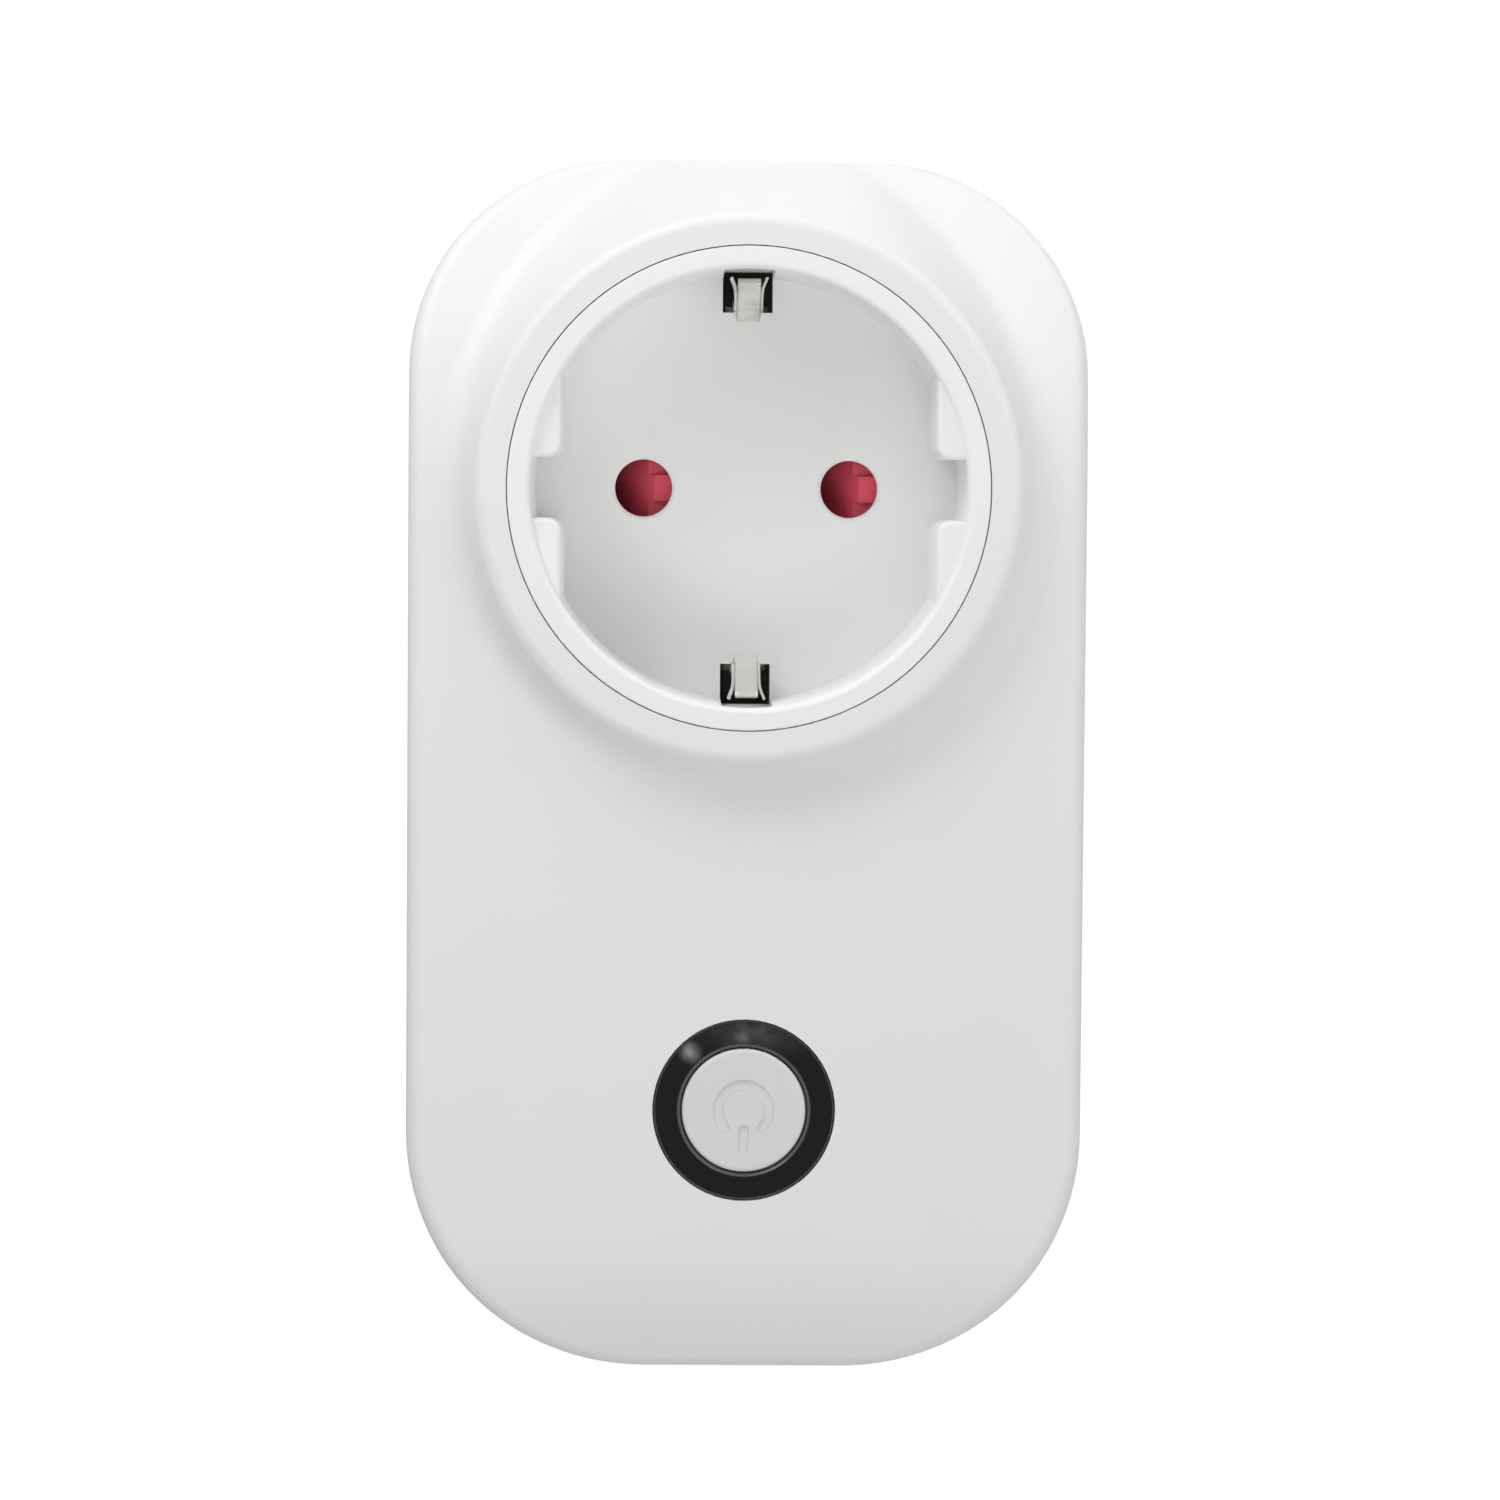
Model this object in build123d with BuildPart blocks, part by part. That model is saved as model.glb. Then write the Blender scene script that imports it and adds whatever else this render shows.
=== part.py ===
from build123d import *
from math import asin, degrees, radians, sqrt, tan
import os

# Plug-in power meter socket: a Schuko socket at the front, a hybrid earthed plug at the back,
# and a relay, a metering chip and a radio between them.
# Frame: the origin is midway between the roots of the two plug pins, +Y points into the wall,
# +Z is up and +X is to the right for someone who faces the socket. Millimetres throughout.

os.makedirs("parts", exist_ok=True)

# ---- casing ----
body_width = 61.5
top_edge = 30.0  # socket axis to the top edge
bottom_edge = 80.0  # socket axis to the bottom edge
top_corner_radius = 19.5
bottom_corner_radius = 21.8
body_depth = 36.0  # socket rim to the back face
rear_depth = 8.0  # back face to the split line
wall = 2.0
side_draft = 0.6  # degrees, each way from the split line
crown_start = 0.0  # height where the front begins to lean back
crown_radius = 64.0
lower_turn = 12.0  # height of the part that turns under
lower_radius = 30.0
crown_spare = 14.0  # how far the front surface runs past the casing before it is trimmed
lower_spare = 6.0
front_edge_radius = 1.5
back_edge_radius = 2.0
seam_groove = 0.25  # each shell's half of the groove along their joint
cut = 1.0  # how far a cut runs past the face that it opens

# ---- socket ----
well_radius = 19.5
well_depth = 17.5
rim_width = 2.0
rim_edge_radius = 0.5
seam_gap = 0.1
boss_ring_width = 2.6
boss_height = 4.0
skirt_slope = 1.7  # rise over run
skirt_spare = 21.0  # how far the skirt's cone runs into the leaning top
shoulder_radius = 1.2
skirt_blend = 3.0
floor_thickness = 2.5
key_depth = 2.75  # side flats inside the wall of the well
key_gap = 5.5
key_step = 1.0  # side flats below the rim
key_corner_radius = 1.2
key_edge_radius = 0.4
flange_width = 2.0
flange_thickness = 1.8
clip_slot_width = 4.6
clip_slot_inset = 3.3  # the slot's inner end inside the wall of the well
clip_slot_recess = 0.5  # the slot's outer end in the wall
peg_inset = 3.8  # pegs of the shutter carrier from the insert's edge
peg_radius = 1.6
peg_length = 5.5

# ---- plug ----
pin_spacing = 19.0
pin_radius = 2.4
pin_length = 19.0
pin_tip_radius = 1.7
pin_shoulder_radius = 3.0
pin_head_rim = 1.2
pin_head_thickness = 1.5
pin_tail_radius = 1.5
pin_tail_length = 3.0
pin_hole_radius = 2.65
hole_bevel = 0.25
nose_length = 17.2
nose_radius = 18.5
nose_flat = 16.3
nose_rib = 4.8
nose_cap = 3.5
nose_wall = 3.5
nose_edge_radius = 0.8
nose_lip = 0.8  # plastic past the end of the earth strips
earth_pin_offset = 10.0
earth_bore_radius = 2.55
earth_sleeve_wall = 0.5
earth_sleeve_inset = 0.3
earth_strip_width = 5.8
strip_recess = 1.9
strip_play = 0.3
strip_entry = 2.2  # back face to the slot that the earth strips enter through
strip_entry_height = 2.6
strip_thickness = 0.8

# ---- button and light ring ----
button_drop = 56.0  # socket axis to the button axis
ring_radius = 8.15
ring_bore = 5.7
ring_gap = 0.1
ring_flange = 1.5
ring_flange_thickness = 1.0
ring_skirt = (0.4, 0.8)  # outside and inside the ring's radius
ring_inner_bevel = 0.45
ring_outer_radius = 0.2
cap_gap = 0.12
cap_proud = 0.1
cap_plate = 1.6
cap_wall = 1.0
cap_flange = 1.0
cap_flange_thickness = 0.8
cap_edge_radius = 0.35
button_travel = 0.5
icon_depth = 0.2
icon_arc_radius = 2.3
icon_opening = 94.0  # degrees left open at the bottom of the sign's ring
icon_bar_drop = 2.6
icon_bar_length = 2.6
icon_stroke = 1.0

# ---- shutter ----
shutter_travel = 6.0
shutter_gap = 0.25
shutter_base = 0.35  # thickness at the low end of the ramp
rib_height = 0.55
rib_width = 2.4
ramp_start = 0.45  # where the ramp leaves the flat, from the pin axis
ramp_reach = 3.2  # ramp's low end from the pin axis
pin_pass = 0.35  # open shutter to the pin hole
block_margin = 1.25  # right block past the pin hole
shutter_half_height = 4.6
window_half_height = 2.9
spring_pocket_depth = 3.2
spring_radius = 1.2
spring_wire = 0.18
spring_turns = 6
carrier_thickness = 1.5
carrier_rim = 1.85
notch_play = 0.6

# ---- contacts and earth clips ----
sheet_metal = 0.6
strap_width = 4.2
leaf_width = 2.4
leaf_end_radius = 0.75
leaf_root = 1.0  # outside the slot's inner edge
wing_depth = 3.6
contact_length = 13.6
contact_width = 6.0
contact_foot_reach = 5.6
contact_mouth = 3.3
contact_waist = 2.5
contact_waist_depth = 5.0
contact_base = 3.2

# ---- boards: X, Z and thickness ----
board_thickness = 1.6
board_back_gap = 3.2
board_drop = 3.5  # socket insert to the top of the board
board_edge_gap = 1.2
board_hole_radius = 1.1
pillar_clearance = 0.6
post_inset_low = (16.75, 8.0)  # board posts from the casing's side and bottom edge
post_inset_high = (5.35, 4.5)  # and from the casing's side and the board's top
board_post_radius = 2.4
control_gap = 4.3  # front wall to the control board
control_size = (26.6, 29.4, 1.2)
control_corner_radius = 1.5
control_post_inset = 2.2
control_post_radius = 2.2
pilot_radius = 0.9
pilot_floor = 0.7  # plastic left under a pilot hole

# ---- components: X, Z and height off the board, or radius and height ----
lead_radius = 0.35
relay_size = (19.0, 15.5, 14.2)
relay_base_rim = 0.2
relay_base_height = 1.0
relay_drop = 12.0
relay_x = -12.0
mains_capacitor_size = (13.0, 6.0, 12.0)
mains_capacitor_place = (9.0, 6.5)
varistor_radius = 4.5
varistor_thickness = 4.0
varistor_place = (20.5, 14.0)
varistor_lift = 6.5
varistor_lead_pitch = 5.0
fuse_radius = 1.7
fuse_length = 10.0
fuse_cap_radius = 1.9
fuse_cap_length = 2.5
fuse_place = (9.5, 14.5)
fuse_lift = 2.4
shunt_size = (6.0, 3.0, 4.0)
shunt_thickness = 0.9
shunt_drop = 22.0
core_size = (12.0, 6.0, 10.0)
coil_size = (8.0, 11.0, 6.6)
coil_corner_radius = 1.6
coil_play = 0.1
transformer_place = (15.5, 6.0)
transformer_lift = 5.0
can_groove = (1.6, 0.7, 0.35)  # height, width and depth
can_vent = (0.65, 0.3, 0.2)  # share of the radius, width and depth
chip_lead = (0.42, 1.4, 0.2)
chip_lift = 0.1
header_pitch = 2.54
header_count = 6
header_width = 2.5
header_height = 8.5
header_pin = 0.64
header_drop = 13.2
radio_size = (16.0, 20.0, 0.8)
radio_rise = 1.0
shield_size = (13.0, 12.0, 2.0)
shield_drop = 3.0
led_size = (2.2, 3.2, 1.6)
led_count = 4
switch_side = 6.0
switch_height = 3.5
switch_foot = (1.6, 0.7, 0.3)
switch_foot_grid = (7.0, 4.5)
plunger_radius = 1.7
plunger_play = 0.05
plunger_seat = 1.4
plunger_spare = 0.2

# ---- wires ----
wire_radius = 0.9
terminal_size = (3.2, 3.0, 2.8)
terminal_drop = 4.5
terminal_shift = (-1.5, 4.5)  # live and load terminals, from the pin axis
terminal_wire_height = 1.4
terminal_bite = 1.9

# ---- rating label ----
label_size = (34.0, 26.0, 0.15)
label_corner_radius = 1.5
label_play = 0.15
label_bed = 0.3
label_drop = 52.0

# ---- fasteners: shank radius, head radius, head height ----
casing_screw = (1.4, 2.75, 1.8)
board_screw = (0.8, 2.1, 1.2)
carrier_screw = (0.8, 2.3, 0.9)
screw_clearance = 0.1
screw_depth = 12.0  # pilot hole in the front shell
screw_end_gap = 1.0
cross_width = 0.55
cross_depth = 0.6
head_seat_depth = 4.5
post_radius = 3.0
pillar_radius = 4.2
upper_screw_inset = (7.25, 12.0)  # from the casing's side and top edge
lower_screw_inset = (9.75, 11.0)  # from the casing's side and bottom edge

# ---- levels along the depth, from the pins' root towards the front ----
back_y = -nose_length
rim_y = back_y - body_depth
front_y = rim_y + boss_height
split_y = back_y - rear_depth
floor_y = rim_y + well_depth
floor_back_y = floor_y + floor_thickness
front_inner_y = front_y + wall
back_inner_y = back_y - wall
head_seat_y = back_y - head_seat_depth
board_back_y = back_inner_y - board_back_gap
board_front_y = board_back_y - board_thickness
control_front_y = front_inner_y + control_gap
control_back_y = control_front_y + control_size[2]

# ---- radii and places across the front ----
key_flat = well_radius - key_depth
clip_slot_inner = well_radius - clip_slot_inset
clip_slot_outer = well_radius + clip_slot_recess
insert_radius = well_radius + rim_width
boss_radius = insert_radius + seam_gap + boss_ring_width
flange_radius = insert_radius + flange_width
peg_spacing = sqrt(2) * (insert_radius - peg_inset)
recess_floor = nose_radius - strip_recess
pin_x = pin_spacing / 2
button_z = -button_drop
lower_start = lower_turn - bottom_edge
half_width = body_width / 2
body_middle = (top_edge - bottom_edge) / 2
body_height = top_edge + bottom_edge
half_reach = half_width + crown_spare
board_top = -insert_radius - board_drop
hands = (-1, 1)
screw_points = [
    (hand * (half_width - upper_screw_inset[0]), top_edge - upper_screw_inset[1]) for hand in hands
]
pillar_points = [
    (hand * (half_width - lower_screw_inset[0]), lower_screw_inset[1] - bottom_edge) for hand in hands
]
screw_points += pillar_points
board_screw_points = [
    (hand * (half_width - post_inset_low[0]), post_inset_low[1] - bottom_edge) for hand in hands
]
board_screw_points += [
    (hand * (half_width - post_inset_high[0]), board_top - post_inset_high[1]) for hand in hands
]
control_reach = [side / 2 - control_post_inset for side in control_size[:2]]
control_screw_points = [
    (hand * control_reach[0], button_z + rise * control_reach[1]) for hand in hands for rise in hands
]
pin_points = ((-pin_x, 0), (pin_x, 0))


def facing(y):
    # a plane at this depth that faces the front: its own x is +X and its own y is +Z
    return Plane.XZ.offset(-y)


def outline(inset):
    with BuildSketch() as casing:
        with Locations((0, body_middle)):
            Rectangle(body_width - 2 * inset, body_height - 2 * inset)
        fillet(casing.vertices().group_by(Axis.Y)[-1], top_corner_radius - inset)
        fillet(casing.vertices().group_by(Axis.Y)[0], bottom_corner_radius - inset)
    return casing.sketch


def side_section(inset):
    # the casing from the side: flat in the middle, leaning back above, turned under below
    upper_turn = degrees(asin((top_edge + crown_spare) / (crown_radius - inset)))
    under_turn = degrees(asin((lower_turn + lower_spare) / (lower_radius - inset)))
    with BuildSketch() as section:
        with BuildLine():
            upper = CenterArc((front_y + crown_radius, crown_start), crown_radius - inset, 180, -upper_turn)
            lower = CenterArc((front_y + lower_radius, lower_start), lower_radius - inset, 180, under_turn)
            Line(upper @ 0, lower @ 0)
            Polyline(upper @ 1, (split_y, (upper @ 1).Y), (split_y, (lower @ 1).Y), lower @ 1)
        make_face()
    return section.sketch


def bend_radii(route):
    # each bend is as large as its two runs allow
    radii = []
    for before, corner, after in zip(route, route[1:], route[2:]):
        first = Vector(*corner) - Vector(*before)
        second = Vector(*after) - Vector(*corner)
        turn = radians(first.get_angle(second))
        radii.append(0.45 * min(first.length, second.length) / tan(turn / 2))
    return radii


def wire(route):
    with BuildPart() as tube:
        with BuildLine() as path:
            FilletPolyline(*route, radius=bend_radii(route))
        with BuildSketch(Plane(origin=path.line @ 0, z_dir=path.line % 0)):
            Circle(wire_radius)
        sweep()
    return tube.part


def screws(points, seat_y, way, kind, length):
    # pan heads with a cross recess; way is 1 for heads on the wall's side and -1 for heads on the front
    shank, head, head_height = kind
    with BuildPart() as group:
        with BuildSketch(facing(seat_y)):
            with Locations(*points):
                Circle(head)
        extrude(amount=-way * head_height)
        fillet(group.faces().sort_by(Axis.Y, reverse=way > 0)[: len(points)].edges(), 0.35 * head_height)
        with BuildSketch(facing(seat_y)):
            with Locations(*points):
                Circle(shank)
        extrude(amount=way * length)
        with BuildSketch(facing(seat_y + way * head_height)):
            with Locations(*points):
                Rectangle(1.1 * head, cross_width)
                Rectangle(cross_width, 1.1 * head)
        extrude(amount=way * cross_depth, mode=Mode.SUBTRACT)
    return group.part


# ================= casing =================

with BuildPart() as front_block:
    with BuildSketch(Plane.YZ.offset(-half_reach)):
        add(side_section(0))
    extrude(amount=2 * half_reach)
    # the boss round the socket: a cone that runs out over the leaning top
    skirt_depth = boss_height + skirt_spare
    skirt_reach = boss_radius + skirt_depth / skirt_slope
    with BuildSketch(Plane.XY):
        with BuildLine():
            Polyline(
                (0, rim_y),
                (boss_radius, rim_y),
                (skirt_reach, rim_y + skirt_depth),
                (0, rim_y + skirt_depth),
                close=True,
            )
        make_face()
    revolve(axis=Axis.Y)
    foot = [
        edge
        for edge in front_block.edges()
        if edge.center().Y > rim_y + wall / 2
        and (edge.bounding_box().max.X < skirt_reach and edge.bounding_box().size.X > boss_radius)
        and edge.geom_type != GeomType.LINE
    ]
    fillet(foot, skirt_blend)
    rim_edge = front_block.edges().filter_by(GeomType.CIRCLE).sort_by(Axis.Y)[0]
    fillet(rim_edge, shoulder_radius)
    with BuildSketch(facing(split_y)):
        add(outline(0))
    extrude(amount=split_y - rim_y + cut, taper=side_draft, mode=Mode.INTERSECT)
    side_walls = front_block.faces().filter_by(lambda face: abs(face.normal_at().Y) < 0.05)
    perimeter = [
        edge for edge in side_walls.edges() if abs((edge % 0.5).Y) < 0.9 and edge.center().Y < split_y - wall
    ]
    fillet(perimeter, front_edge_radius)
    with BuildSketch(facing(split_y)):
        add(outline(-cut))
        add(outline(seam_groove), mode=Mode.SUBTRACT)
    extrude(amount=seam_groove, mode=Mode.SUBTRACT)

with BuildPart() as front_cavity:
    with BuildSketch(Plane.YZ.offset(-half_reach)):
        add(side_section(wall))
    extrude(amount=2 * half_reach)
    with BuildSketch(facing(split_y)):
        add(outline(wall))
    extrude(amount=split_y - front_y, taper=side_draft, mode=Mode.INTERSECT)

with BuildPart() as front_posts:
    with BuildSketch(facing(split_y)):
        with Locations(*screw_points):
            Circle(post_radius)
    extrude(amount=split_y - rim_y)
    add(front_block.part, mode=Mode.INTERSECT)

with BuildPart() as front_shell:
    add(front_block.part)
    add(front_cavity.part, mode=Mode.SUBTRACT)
    add(front_posts.part)
    # short posts behind the button hold the control board
    with BuildSketch(facing(control_front_y)):
        with Locations(*control_screw_points):
            Circle(control_post_radius)
    extrude(amount=control_gap + wall / 2)
    # opening for the socket insert, and the step that traps its flange
    with BuildSketch(facing(split_y)):
        Circle(insert_radius + seam_gap)
    extrude(amount=split_y - rim_y + cut, mode=Mode.SUBTRACT)
    with BuildSketch(facing(split_y)):
        Circle(flange_radius + seam_gap)
    extrude(amount=split_y - front_inner_y, mode=Mode.SUBTRACT)
    # opening for the light ring
    with BuildSketch(facing(front_inner_y + cut)):
        with Locations((0, button_z)):
            Circle(ring_radius + ring_gap)
    extrude(amount=wall + 2 * cut, mode=Mode.SUBTRACT)
    # pilot holes for the casing screws and the control board screws
    with BuildSketch(facing(split_y)):
        with Locations(*screw_points):
            Circle(casing_screw[0] + screw_clearance)
    extrude(amount=screw_depth, mode=Mode.SUBTRACT)
    with BuildSketch(facing(control_front_y)):
        with Locations(*control_screw_points):
            Circle(pilot_radius)
    extrude(amount=control_gap - pilot_floor, mode=Mode.SUBTRACT)
front_shell.part.label = "front_shell"
export_step(front_shell.part, "parts/front_shell.step")

with BuildPart() as rear_shell:
    with BuildSketch(facing(split_y)):
        add(outline(0))
    extrude(amount=-rear_depth, taper=side_draft)
    back_rim = rear_shell.faces().sort_by(Axis.Y)[-1].edges()
    fillet(back_rim, back_edge_radius)
    with BuildSketch(facing(split_y)):
        add(outline(-cut))
        add(outline(seam_groove), mode=Mode.SUBTRACT)
    extrude(amount=-seam_groove, mode=Mode.SUBTRACT)
    with BuildSketch(facing(split_y)):
        add(outline(wall))
    extrude(amount=-(rear_depth - wall), mode=Mode.SUBTRACT)
    # the plug's nose: round, with a flat each side and a guide rib in the middle of each flat
    with BuildSketch(facing(back_y - wall / 2)):
        Circle(nose_radius)
        Rectangle(2 * nose_flat, 2 * nose_radius, mode=Mode.INTERSECT)
        with BuildSketch(mode=Mode.PRIVATE) as guide:
            Circle(nose_radius)
            Rectangle(2 * nose_radius, nose_rib, mode=Mode.INTERSECT)
        add(guide.sketch)
    extrude(amount=-(nose_length + wall / 2))
    nose_front = rear_shell.faces().sort_by(Axis.Y)[-1].edges()
    fillet(nose_front, nose_edge_radius)
    with BuildSketch(facing(back_inner_y)):
        Circle(nose_radius - nose_wall)
    extrude(amount=-(nose_length + wall - nose_cap), mode=Mode.SUBTRACT)
    # pillars round the casing screws
    with BuildSketch(facing(split_y)):
        with Locations(*screw_points):
            Circle(pillar_radius)
        add(outline(wall / 2), mode=Mode.INTERSECT)
    extrude(amount=-(rear_depth - wall / 2))
    with BuildSketch(facing(split_y)):
        with Locations(*screw_points):
            Circle(casing_screw[0] + 2 * screw_clearance)
    extrude(amount=-rear_depth, mode=Mode.SUBTRACT)
    with BuildSketch(facing(head_seat_y)):
        with Locations(*screw_points):
            Circle(casing_screw[1] + 3 * screw_clearance)
    extrude(amount=-(head_seat_depth + cut), mode=Mode.SUBTRACT)
    # holes for the pins and for the earth sleeve
    with BuildSketch(facing(-nose_cap - cut)):
        with Locations(*pin_points):
            Circle(pin_shoulder_radius)
        with Locations((0, earth_pin_offset)):
            Circle(earth_bore_radius + earth_sleeve_wall + seam_gap / 2)
    extrude(amount=-(nose_cap + 2 * cut), mode=Mode.SUBTRACT)
    # recesses for the earth strips, and the slots that they enter through
    for side in hands:
        with BuildSketch(facing(back_y + strip_entry)):
            with Locations((0, side * (recess_floor + nose_radius) / 2)):
                Rectangle(earth_strip_width + 2 * strip_play, strip_recess)
        extrude(amount=-(nose_length - strip_entry - nose_lip), mode=Mode.SUBTRACT)
        with BuildSketch(facing(back_y + strip_entry)):
            with Locations((0, side * (nose_radius - nose_wall / 2))):
                Rectangle(earth_strip_width + 2 * strip_play, nose_wall + cut)
        extrude(amount=-strip_entry_height, mode=Mode.SUBTRACT)
    # posts for the main board
    with BuildSketch(facing(board_back_y)):
        with Locations(*board_screw_points):
            Circle(board_post_radius)
    extrude(amount=-(board_back_gap + wall / 2))
    with BuildSketch(facing(board_back_y)):
        with Locations(*board_screw_points):
            Circle(pilot_radius)
    extrude(amount=-board_back_gap, mode=Mode.SUBTRACT)
    # shallow bed for the rating label
    bed_reach = [side + 2 * label_play for side in label_size[:2]]
    with BuildSketch(facing(back_y - label_bed)):
        with Locations((0, -label_drop)):
            RectangleRounded(*bed_reach, label_corner_radius + label_play)
    extrude(amount=-cut, mode=Mode.SUBTRACT)
rear_shell.part.label = "rear_shell"
export_step(rear_shell.part, "parts/rear_shell.step")

with BuildPart() as rating_label:
    with BuildSketch(facing(back_y - label_bed)):
        with Locations((0, -label_drop)):
            RectangleRounded(*label_size[:2], label_corner_radius)
    extrude(amount=-label_size[2])
rating_label.part.label = "rating_label"
export_step(rating_label.part, "parts/rating_label.step")

# ================= socket =================

with BuildPart() as socket_insert:
    with BuildSketch(facing(floor_back_y)):
        Circle(insert_radius)
    extrude(amount=floor_back_y - rim_y)
    with BuildSketch(facing(front_inner_y + flange_thickness)):
        Circle(flange_radius)
    extrude(amount=flange_thickness)
    with BuildSketch(facing(floor_y)):
        Circle(well_radius)
    extrude(amount=well_depth, mode=Mode.SUBTRACT)
    rim_edges = socket_insert.edges().filter_by(GeomType.CIRCLE).group_by(Axis.Y)[0]
    chamfer(rim_edges.sort_by(SortBy.RADIUS)[-1:], seam_gap)
    fillet(rim_edges.sort_by(SortBy.RADIUS)[:1], rim_edge_radius)
    # side blocks with a flat face, and a gap for the plug's guide rib
    with BuildSketch(facing(floor_y)):
        Circle(well_radius + rim_width / 2)
        Rectangle(2 * key_flat, 2 * insert_radius, mode=Mode.SUBTRACT)
        Rectangle(2 * insert_radius, key_gap, mode=Mode.SUBTRACT)
    extrude(amount=well_depth - key_step)
    block_corners = (
        socket_insert.edges()
        .filter_by(Axis.Y)
        .filter_by(lambda edge: abs(abs(edge.center().X) - key_flat) < 0.01)
        .filter_by(lambda edge: abs(abs(edge.center().Z) - key_gap / 2) < 0.01)
    )
    fillet(block_corners, key_corner_radius)
    block_tops = (
        socket_insert.edges()
        .filter_by(Axis.Z)
        .filter_by(lambda edge: abs(edge.center().Y - (rim_y + key_step)) < 0.01)
        .filter_by(lambda edge: abs(abs(edge.center().X) - key_flat) < 0.01)
    )
    fillet(block_tops, key_edge_radius)
    # pin holes
    with BuildSketch(facing(floor_back_y)):
        with Locations(*pin_points):
            Circle(pin_hole_radius)
    extrude(amount=floor_thickness, mode=Mode.SUBTRACT)
    hole_rims = (
        socket_insert.edges()
        .filter_by(GeomType.CIRCLE)
        .filter_by(lambda edge: abs(edge.radius - pin_hole_radius) < 0.01)
        .filter_by(lambda edge: abs(edge.center().Y - floor_y) < 0.01)
    )
    chamfer(hole_rims, hole_bevel)
    # slots for the earth clips, in the floor and up the wall
    for side in hands:
        with BuildSketch(facing(floor_back_y)):
            with Locations((0, side * (clip_slot_inner + clip_slot_outer) / 2)):
                Rectangle(clip_slot_width, clip_slot_outer - clip_slot_inner)
        extrude(amount=floor_back_y - rim_y - key_step, mode=Mode.SUBTRACT)
    # hollow pegs that hold the shutter carrier
    with BuildSketch(facing(floor_back_y + peg_length)):
        with GridLocations(peg_spacing, peg_spacing, 2, 2):
            Circle(peg_radius)
            Circle(pilot_radius, mode=Mode.SUBTRACT)
    extrude(amount=peg_length)
socket_insert.part.label = "socket_insert"
export_step(socket_insert.part, "parts/socket_insert.step")

# the shutter lies behind the floor: a flat that closes each hole, with a ramp on its left
rib_front_y = floor_back_y + shutter_gap
flat_front_y = rib_front_y + rib_height
ramp_low_y = flat_front_y + ramp_start + ramp_reach
shutter_back_y = ramp_low_y + shutter_base
left_block_end = pin_x - pin_hole_radius - shutter_travel - pin_pass
right_block_end = pin_x + pin_hole_radius + block_margin
window_end = pin_x - ramp_reach
spring_y = (rib_front_y + shutter_back_y) / 2
spring_pocket = right_block_end - spring_pocket_depth

with BuildPart() as shutter:
    for centre, end in ((-pin_x, left_block_end), (pin_x, right_block_end)):
        with BuildSketch(Plane.XY.offset(-shutter_half_height)):
            with BuildLine():
                Polyline(
                    (centre - ramp_reach, shutter_back_y),
                    (centre - ramp_reach, ramp_low_y),
                    (centre + ramp_start, flat_front_y),
                    (end, flat_front_y),
                    (end, shutter_back_y),
                    close=True,
                )
            make_face()
        extrude(amount=2 * shutter_half_height)
        with BuildSketch(Plane.XY.offset(-rib_width / 2)):
            with BuildLine():
                Polyline(
                    (centre + ramp_start, flat_front_y),
                    (centre + ramp_start + rib_height, rib_front_y),
                    (end, rib_front_y),
                    (end, flat_front_y),
                    close=True,
                )
            make_face()
        extrude(amount=rib_width)
    # rails join the two blocks past the window between them
    rail_length = window_end - left_block_end + 2 * shutter_base
    rail_height = shutter_half_height - window_half_height
    rail_x = (left_block_end + window_end) / 2
    for side in hands:
        with BuildSketch(facing(shutter_back_y)):
            with Locations((rail_x, side * (window_half_height + rail_height / 2))):
                Rectangle(rail_length, rail_height)
        extrude(amount=shutter_base + cut)
    # pocket for the return spring
    with BuildSketch(Plane(origin=(right_block_end, spring_y, 0), z_dir=(1, 0, 0))):
        Circle(spring_radius + 2 * spring_wire)
    extrude(amount=-spring_pocket_depth, mode=Mode.SUBTRACT)
shutter.part.label = "shutter"
export_step(shutter.part, "parts/shutter.step")

carrier_floor_y = shutter_back_y + shutter_gap
carrier_back_y = carrier_floor_y + carrier_thickness
track_left = -pin_x - ramp_reach - shutter_gap
track_right = right_block_end + shutter_travel + shutter_gap
notch_height = 2 * (insert_radius - clip_slot_inner + cut)

with BuildPart() as shutter_carrier:
    with BuildSketch(facing(carrier_back_y)):
        Circle(track_right + carrier_rim)
        with GridLocations(peg_spacing, peg_spacing, 2, 2):
            Circle(peg_radius + seam_gap, mode=Mode.SUBTRACT)
        for side in hands:
            with Locations((0, side * insert_radius)):
                Rectangle(clip_slot_width + 2 * notch_play, notch_height, mode=Mode.SUBTRACT)
    extrude(amount=carrier_back_y - floor_back_y)
    with BuildSketch(facing(carrier_floor_y)):
        with Locations(((track_left + track_right) / 2, 0)):
            Rectangle(track_right - track_left, 2 * (shutter_half_height + shutter_gap))
    extrude(amount=carrier_floor_y - floor_back_y, mode=Mode.SUBTRACT)
    with BuildSketch(facing(carrier_back_y)):
        with Locations(*pin_points):
            Circle(pin_hole_radius + shutter_gap)
    extrude(amount=carrier_thickness, mode=Mode.SUBTRACT)
shutter_carrier.part.label = "shutter_carrier"
export_step(shutter_carrier.part, "parts/shutter_carrier.step")

coil_length = track_right - spring_pocket - 2 * spring_wire
with BuildPart() as shutter_spring:
    with BuildLine() as coil:
        Helix(
            pitch=coil_length / spring_turns,
            height=coil_length,
            radius=spring_radius,
            center=(spring_pocket + spring_wire, spring_y, 0),
            direction=(1, 0, 0),
        )
    with BuildSketch(Plane(origin=coil.line @ 0, z_dir=coil.line % 0)):
        Circle(spring_wire)
    sweep()
shutter_spring.part.label = "shutter_spring"
export_step(shutter_spring.part, "parts/shutter_spring.step")

# ================= socket metalwork =================

strap_y = carrier_back_y + sheet_metal / 2
clip_root = clip_slot_inner + leaf_root
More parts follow.
